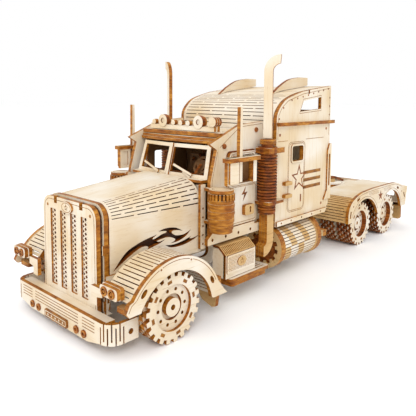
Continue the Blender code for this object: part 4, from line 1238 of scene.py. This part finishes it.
def build_rear_wings():
    """Long plates with two arches and a star, ribbed skins bent over them, and rear flaps."""
    top = REAR_WING_TOP[:2] + curve(REAR_WING_TOP[2:6], 4) + curve(REAR_WING_TOP[6:], 3)
    outline = top + [(200.5, 14.2)] + arc(*REAR_ARCH, 12.2, 163.2, 36) + arc(*MID_ARCH, 22.1, 157.9, 36)
    slots = [stroke([(127.3, 18.0), (128.0, 21.6)], 1.2), stroke([(134.6, 26.2), (137.4, 27.2)], 1.3),
             stroke([(186.6, 27.0), (189.2, 26.0)], 1.3), stroke([(197.4, 22.4), (199.2, 19.2)], 1.2)]
    face = fitted_board("rear_wing_board", "rear_wing_plate", "X", outline, slots, paired=True)
    rims = [arc(MID_ARCH[0], 18.2, 30, 150, 30), arc(REAR_ARCH[0], 16.4, 20, 155, 30)]
    rims.append([(y, z - 1.0) for y, z in curve(REAR_WING_TOP[4:10], 3)])
    for k in range(22):
        y = 148.5 + 1.35 * k
        if abs(y - 163.0) > 3.4:
            rims.append([(y, 28.9), (y + 1.3, 27.0)])
    engrave("rear_wing_lines", "X", face, rims, 0.2, paired=True)
    bm = bmesh.new()
    add_board(bm, "X", face, star((163.4, 25.2), 3.0), thickness=ETCH)
    add_dots(bm, face, [(130.5, 23.8), (194.0, 23.6)], 0.45)
    publish("rear_wing_star", bm, DEEP_BROWN, slot="burnt_edge", paired=True)
    skin_low, skin_high = span("rear_wing_skin_left")
    path = offset(curve(REAR_WING_TOP[:-1] + [(199.0, 26.3)], 4), -0.7)
    length = path_length(path)
    ribbed = 18.0
    near_front, far_front = comb(0.0, ribbed, skin_low.x, skin_high.x, 1.5, 1.4)
    near_rear, far_rear = comb(length - ribbed, length, skin_low.x, skin_high.x, 1.5, 1.4)
    bm = bmesh.new()
    add_board(bm, "Z", 0, near_front[:-1] + near_rear[1:] + far_rear[:-1] + far_front[1:])
    slice_board(bm, "X", [length * i / 60 for i in range(1, 60)])

    def drape(u, v, w):
        """Bend the flat skin over the wing's profile."""
        y, z = path_point(path, u, w - PLY / 2)
        return Vector((v, y, z))

    bend(bm, drape)
    # painted shade: the skin's fore end gets the darker tan, as it lies in shade
    for side in bm.faces:
        if side.material_index == 0 and side.calc_center_median().y < 134.5:
            side.material_index = 2         # painted shade on the fore end
    publish("rear_wing_skin_sheet", bm, (FACE["X"], DARK_EDGE, DARK_TAN), stands_for=["rear_wing_skin"],
            slot="bent_sheet", paired=True)
    inner = [(y, z - 2.4) for y, z in REAR_WING_TOP[4:9]]
    rib = inner + [(y, z - 3.4) for y, z in inner[::-1]]
    one_board("rear_wing_rib", "X", 11.0, rib, finish=DARK_TAN_BOARD, paired=True)
    flap = box(12.0, 4.0, 28.0, 14.0, 1.5)
    one_board("rear_mud_flap", "Y", 202.5, flap, finish=DARK_TAN_BOARD, slot="bent_sheet", paired=True)
    bm = bmesh.new()
    add_board(bm, "X", 27.7, [(199.5, 14.0), (205.8, 14.0), (205.8, 24.0), (200.5, 24.6)], thickness=PLY)
    add_board(bm, "Z", 13.6, box(12.0, 201.7, 28.0, 205.8), thickness=PLY)
    publish("tail_brackets", bm, FINISH["X"], paired=True)


# ---------------------------------------------------------------- stage

def build_camera():
    """Eye level with the bonnet, off the left front corner."""
    data = bpy.data.cameras.new("camera")
    data.lens, data.sensor_width = 42.21, 36.0
    data.shift_x, data.shift_y = -0.0052, -0.1514
    data.clip_start, data.clip_end = 0.01, 20.0
    turn, dip, roll = math.radians(42.91), math.radians(5.5), math.radians(0.40)
    forward = Vector((-math.sin(turn) * math.cos(dip), math.cos(turn) * math.cos(dip), -math.sin(dip)))
    level = Vector((math.cos(turn), math.sin(turn), 0))
    right = level * math.cos(roll) + level.cross(forward) * math.sin(roll)
    up = right.cross(forward)
    camera = bpy.data.objects.new("camera", data)
    pose = Matrix((right, up, -forward)).transposed().to_4x4()
    camera.matrix_world = Matrix.Translation(Vector((147.14, -196.78, 79.96)) * MM) @ pose
    bpy.context.scene.collection.objects.link(camera)
    bpy.context.scene.camera = camera


def add_area(name, place, size, power, aim=(0, 0, 0.03)):
    """A large soft panel of light turned to the model."""
    data = bpy.data.lights.new(name, "AREA")
    data.shape, data.size, data.energy = "DISK", size, power
    light = bpy.data.objects.new(name, data)
    light.location = place
    light.rotation_euler = (Vector(place) - Vector(aim)).to_track_quat("Z", "Y").to_euler()
    bpy.context.scene.collection.objects.link(light)


def build_stage():
    """Plain pale floor, soft studio light and a white backdrop."""
    bm = bmesh.new()
    bmesh.ops.create_grid(bm, x_segments=1, y_segments=1, size=6.0)
    mesh = bpy.data.meshes.new("studio_floor")
    bm.to_mesh(mesh)
    bm.free()
    paper, _, shader = start_material("studio_paper", 0.95)
    shader.inputs["Base Color"].default_value = linear("#ffffff")
    mesh.materials.append(paper)
    floor = bpy.data.objects.new("studio_floor", mesh)
    bpy.context.scene.collection.objects.link(floor)
    world = bpy.data.worlds.new("studio_white")
    world.use_nodes = True
    world.node_tree.nodes["Background"].inputs["Color"].default_value = linear("#ffffff")
    world.node_tree.nodes["Background"].inputs["Strength"].default_value = 1.0
    bpy.context.scene.world = world
    add_area("key", (0.75, -0.75, 0.9), 0.7, 7.0)
    add_area("fill", (-0.7, -0.8, 0.5), 0.9, 1.5)
    bpy.context.scene.view_settings.view_transform = "Standard"


build_grille()
build_hood()
build_bumper()
build_headlights()
build_front_wings()
build_running_gear()
build_chassis()
build_cab()
build_sleeper()
build_exhausts()
build_tanks()
build_filters()
build_toolboxes()
build_rear_wings()
build_stage()
build_camera()
